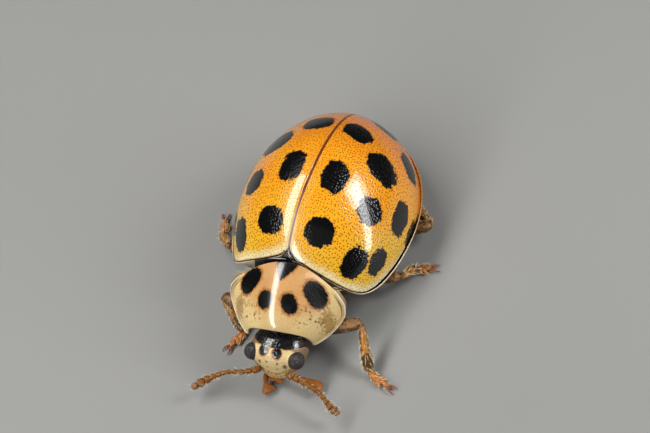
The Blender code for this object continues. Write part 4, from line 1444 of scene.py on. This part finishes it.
class BuildFeelers(Piece, bpy.types.Operator):
    """Both eleven-jointed feelers"""

    bl_idname = "ladybird.feelers"
    bl_label = "Feelers"
    settings = "ladybird_head"

    def build(self, look):
        material = antenna_finish(look)
        for name, path in ANTENNAE.items():
            mesh_piece(name.replace("antenna", "feeler"), antenna_shape(path), material, [name])


class BuildLegs(Piece, bpy.types.Operator):
    """Six legs with their claws"""

    bl_idname = "ladybird.legs"
    bl_label = "Legs"
    settings = "ladybird_legs"

    def build(self, look):
        material = leg_finish(look)
        horn = horn_finish("claw", look.claw, CLAW_DARK, patch=0.04, roughness=0.3)
        for name, joints in LEGS.items():
            solids = [f"{name}_{part}" for part in ("femur", "tibia", "tarsus")]
            mesh_piece(f"{name}_limb", leg_shape(joints), material, solids)
            mesh_piece(f"{name}_hooks", claw_shape(joints), horn, [f"{name}_claws"])


class BuildUnderside(Piece, bpy.types.Operator):
    """Breast and belly plates, and the finish of the plate under the neck"""

    bl_idname = "ladybird.underside"
    bl_label = "Underside"

    def build(self, look):
        mesh_piece("belly", belly_shape(), belly_finish(), ["metathorax", "abdomen"])
        dress("prosternum", horn_finish("neck underside", NECK, NECK_DARK))


def dress(node, material):
    """Gives a kept node its finish."""
    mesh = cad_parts[node].data
    mesh.materials.clear()
    mesh.materials.append(material)


class BuildBristles(Piece, bpy.types.Operator):
    """Bristles on the neck shield's hind corners, the feelers and the legs"""

    bl_idname = "ladybird.bristles"
    bl_label = "Bristles"
    settings = "ladybird_hairs"

    def build(self, look):
        material = bristle_finish(look)
        chance = np.random.default_rng(RANDOM_SEED)
        for name, shape in (
            ("shield_bristles", shield_bristles(look, chance)),
            ("feeler_bristles", feeler_bristles(look, chance)),
            ("leg_bristles", leg_bristles(look, chance)),
        ):
            points, faces, values = shape
            patches = values["patch"].reshape(-1, 2)
            mesh_piece(name, (points, faces, {}), material, patches=patches)


class BuildStage(Piece, bpy.types.Operator):
    """Floor, camera and soft lights"""

    bl_idname = "ladybird.stage"
    bl_label = "Stage"
    settings = "ladybird_stage"

    def build(self, look):
        scene = bpy.context.scene
        floor_shape(floor_finish(look))
        scene.camera = camera_at(look)
        for lamp in LAMPS:
            softbox(*lamp)
        world = bpy.data.worlds.new("studio")
        world.use_nodes = True
        background = world.node_tree.nodes["Background"].inputs
        background["Color"].default_value = WORLD_TINT
        background["Strength"].default_value = WORLD_STRENGTH
        scene.world = world
        scene.view_settings.view_transform = "Standard"


# ------------------------------------------------------------------------ bristles' places
RANDOM_SEED = 22
BRISTLE_THICK = 0.010
FEELER_BRISTLE_THICK = 0.009


def shield_bristles(look, chance):
    """A few fine bristles at each hind corner, pointing outwards: longer ones on the right."""
    x = np.concatenate([-np.linspace(0.63, 0.83, 8), np.linspace(0.78, 0.93, 7)])
    side = np.sign(x)
    v = 0.004 + 0.30 * np.clip(np.abs(x) - 0.84, 0, 1)
    roots = pronotum_at(x, v) - (0, 0, 0.04)
    spread = chance.uniform(-0.22, 0.22, (len(x), 3))
    ways = np.stack([side, 0.10 + 0.35 * (side > 0), 0.10 + 0 * x], -1) + spread
    lengths = look.length * chance.uniform(0.8, 1.15, len(x)) * np.where(side < 0, 1.05, 0.75)
    return bristle_shape(placed(roots, True), turned(ways, NECK_YAW), lengths, BRISTLE_THICK, -0.10,
                         np.stack([x / 2.2 + 0.5, v], -1))


def feeler_bristles(look, chance):
    """Short bristles all round both feelers, leaning towards the tips."""
    made = []
    for index, path in enumerate(ANTENNAE.values()):
        count = look.per_antenna
        shares = np.sort(chance.uniform(0.03, 0.99, count))
        turns = chance.uniform(0, 2 * math.pi, count)
        roots, outward, ahead, patches = on_tube(path, antenna_radius, antenna_radius, shares, turns)
        ways = outward + 0.75 * ahead + chance.uniform(-0.2, 0.2, (count, 3))
        lengths = look.length * chance.uniform(0.30, 0.55, count)
        patches = patches * (0.98, 0.48) + (0.0, 0.5 * index)
        made.append(bristle_shape(placed(roots), ways, lengths, FEELER_BRISTLE_THICK, 0.0, patches))
    return joined(made)


def leg_bristles(look, chance):
    """Bristles along each shin and foot, and shorter, sparser ones on the thigh, lying towards the foot."""
    made = []
    for index, joints in enumerate(LEGS.values()):
        hip, thigh, knee, shin, ankle, sole, toe = np.array(joints)
        for part, (path, wide, high, share, long) in enumerate((
            ([hip, thigh, knee], profile(0.1, 0.13, 0.14, 0.1), profile(0.09, 0.11, 0.11, 0.085),
             0.25, 0.35),
            ([knee, shin, ankle], TIBIA_WIDE, TIBIA_HIGH, 0.5, 0.5),
            ([ankle, sole, toe], profile(0.06, 0.09, 0.09, 0.04), profile(0.045, 0.05, 0.045, 0.035),
             0.25, 0.5),
        )):
            count = int(look.per_leg * share)
            turns = chance.uniform(-0.2, math.pi + 0.2, count)
            shares = chance.uniform(0.1, 0.95, count)
            roots, outward, ahead, patches = on_tube(path, wide, high, shares, turns)
            ways = outward + 1.1 * ahead + chance.uniform(-0.15, 0.15, (count, 3))
            lengths = look.length * long * chance.uniform(0.6, 1.1, count)
            patches = np.abs(patches) * (0.32, 0.16) + (0.33 * part, index / 6)
            made.append(bristle_shape(placed(roots), ways, lengths, BRISTLE_THICK, -0.1, patches))
    return joined(made)


# ------------------------------------------------------------------------ stage
WORLD_TINT, WORLD_STRENGTH = (0.85, 0.90, 1.0, 1.0), 0.045
FLOOR_HALF = 0.2                # metres
CAMERA_AIM = (0.085, 1.158, 0.906)
LAMP_AIM = (0.0, 0.6, 1.2)      # the top of the back
WHITE = (1.0, 1.0, 1.0)
RIGHT_WAY, RIGHT_RUN = (0.814, 0.291, 0.510), (-0.587, 0.48, 0.65)

# Lamps: name, the way to it from the beetle, the way its long side runs, distance, how far its middle
# is shifted along that side, length and width (all in millimetres), brightness and tint
LAMPS = (
    ("strip over the left", (-0.48, -0.20, 0.85), (0.10, -0.95, -0.22), 30, 24, 90, 8.0, 10.0,
     (1.0, 0.99, 0.97)),
    ("strip on the right", RIGHT_WAY, RIGHT_RUN, 30, -6, 36, 5.0, 11.0, WHITE),
    ("broad end of it", RIGHT_WAY, RIGHT_RUN, 29, 8, 13, 9.5, 6.5, WHITE),
    ("soft front", (0.10, -0.75, 0.65), (1.0, 0.0, 0.0), 60, 0, 70, 50, 0.12, (0.97, 0.99, 1.0)),
)


def floor_shape(material):
    """A square floor under the feet, FLOOR_HALF to each side."""
    span = np.linspace(-FLOOR_HALF, FLOOR_HALF, 9)
    x, y = np.meshgrid(span, span)
    mesh = bpy.data.meshes.new("floor")
    mesh.from_pydata(np.stack([x, y, 0 * x], -1).reshape(-1, 3).tolist(), [], grid_faces(*x.shape))
    mesh.materials.append(material)
    made = bpy.data.objects.new("floor", mesh)
    bpy.context.scene.collection.objects.link(made)


def camera_at(look):
    """Looks at the middle of the back from the set angle, turned about its own axis by the roll."""
    around, up = look.azimuth, look.elevation
    back = np.array([math.sin(around) * math.cos(up), -math.cos(around) * math.cos(up), math.sin(up)])
    right = np.array([math.cos(around), math.sin(around), 0.0])
    above = np.cross(back, right)
    across = math.cos(look.roll) * right + math.sin(look.roll) * above
    upright = math.cos(look.roll) * above - math.sin(look.roll) * right
    data = bpy.data.cameras.new("camera")
    data.lens = look.lens
    data.sensor_width = 36.0
    data.clip_start = 0.001
    data.clip_end = 10.0
    made = bpy.data.objects.new("camera", data)
    turn = Matrix(np.stack([across, upright, back], 1).tolist()).to_4x4()
    made.matrix_world = Matrix.Translation(Vector(placed(CAMERA_AIM) + back * look.distance)) @ turn
    bpy.context.scene.collection.objects.link(made)
    return made


def softbox(name, way, side, distance, shift, length, width, brightness, tint):
    """A flat lamp that faces the beetle's back; its power is pi times its area times its brightness."""
    data = bpy.data.lights.new(name, "AREA")
    data.shape = "RECTANGLE"
    data.size = length * MM
    data.size_y = width * MM
    data.energy = math.pi * length * width * MM**2 * brightness
    data.color = tint
    way, side = Vector(way).normalized(), Vector(side)
    side = (side - way * side.dot(way)).normalized()
    turn = Matrix((side, way.cross(side), way)).transposed().to_4x4()
    middle = Vector(placed(LAMP_AIM)) + (way * distance + side * shift) * MM
    made = bpy.data.objects.new(name, data)
    made.matrix_world = Matrix.Translation(middle) @ turn
    bpy.context.scene.collection.objects.link(made)


# ------------------------------------------------------------------------ panel and registration
class LadybirdPanel(bpy.types.Panel):
    """Lists what can be built and its settings"""

    bl_idname = "VIEW3D_PT_ladybird"
    bl_label = "Ladybird"
    bl_space_type = "VIEW_3D"
    bl_region_type = "UI"
    bl_category = "Ladybird"

    def draw(self, context):
        shown = {None}
        for operator in STEPS:
            box = self.layout.box()
            box.operator(operator.bl_idname)
            if operator.settings in shown:
                continue
            shown.add(operator.settings)
            look = getattr(context.scene, operator.settings)
            for field in look.bl_rna.properties:
                if field.identifier not in ("rna_type", "name"):
                    box.prop(look, field.identifier)


STEPS = (
    BuildWingCases, BuildWaist, BuildPronotum, BuildHead, BuildMouth, BuildFeelers, BuildLegs,
    BuildUnderside, BuildBristles, BuildStage,
)


def register():
    for look in LOOKS.values():
        bpy.utils.register_class(look)
    for name, look in LOOKS.items():
        setattr(bpy.types.Scene, name, PointerProperty(type=look))
    for made in (*STEPS, LadybirdPanel):
        bpy.utils.register_class(made)


def unregister():
    for made in (LadybirdPanel, *reversed(STEPS)):
        bpy.utils.unregister_class(made)
    for name, look in LOOKS.items():
        delattr(bpy.types.Scene, name)
        bpy.utils.unregister_class(look)


def main():
    """Builds every piece in order."""
    register()
    make_groups()
    for operator in STEPS:
        family, name = operator.bl_idname.split(".")
        getattr(getattr(bpy.ops, family), name)()


if __name__ == "__main__":
    main()
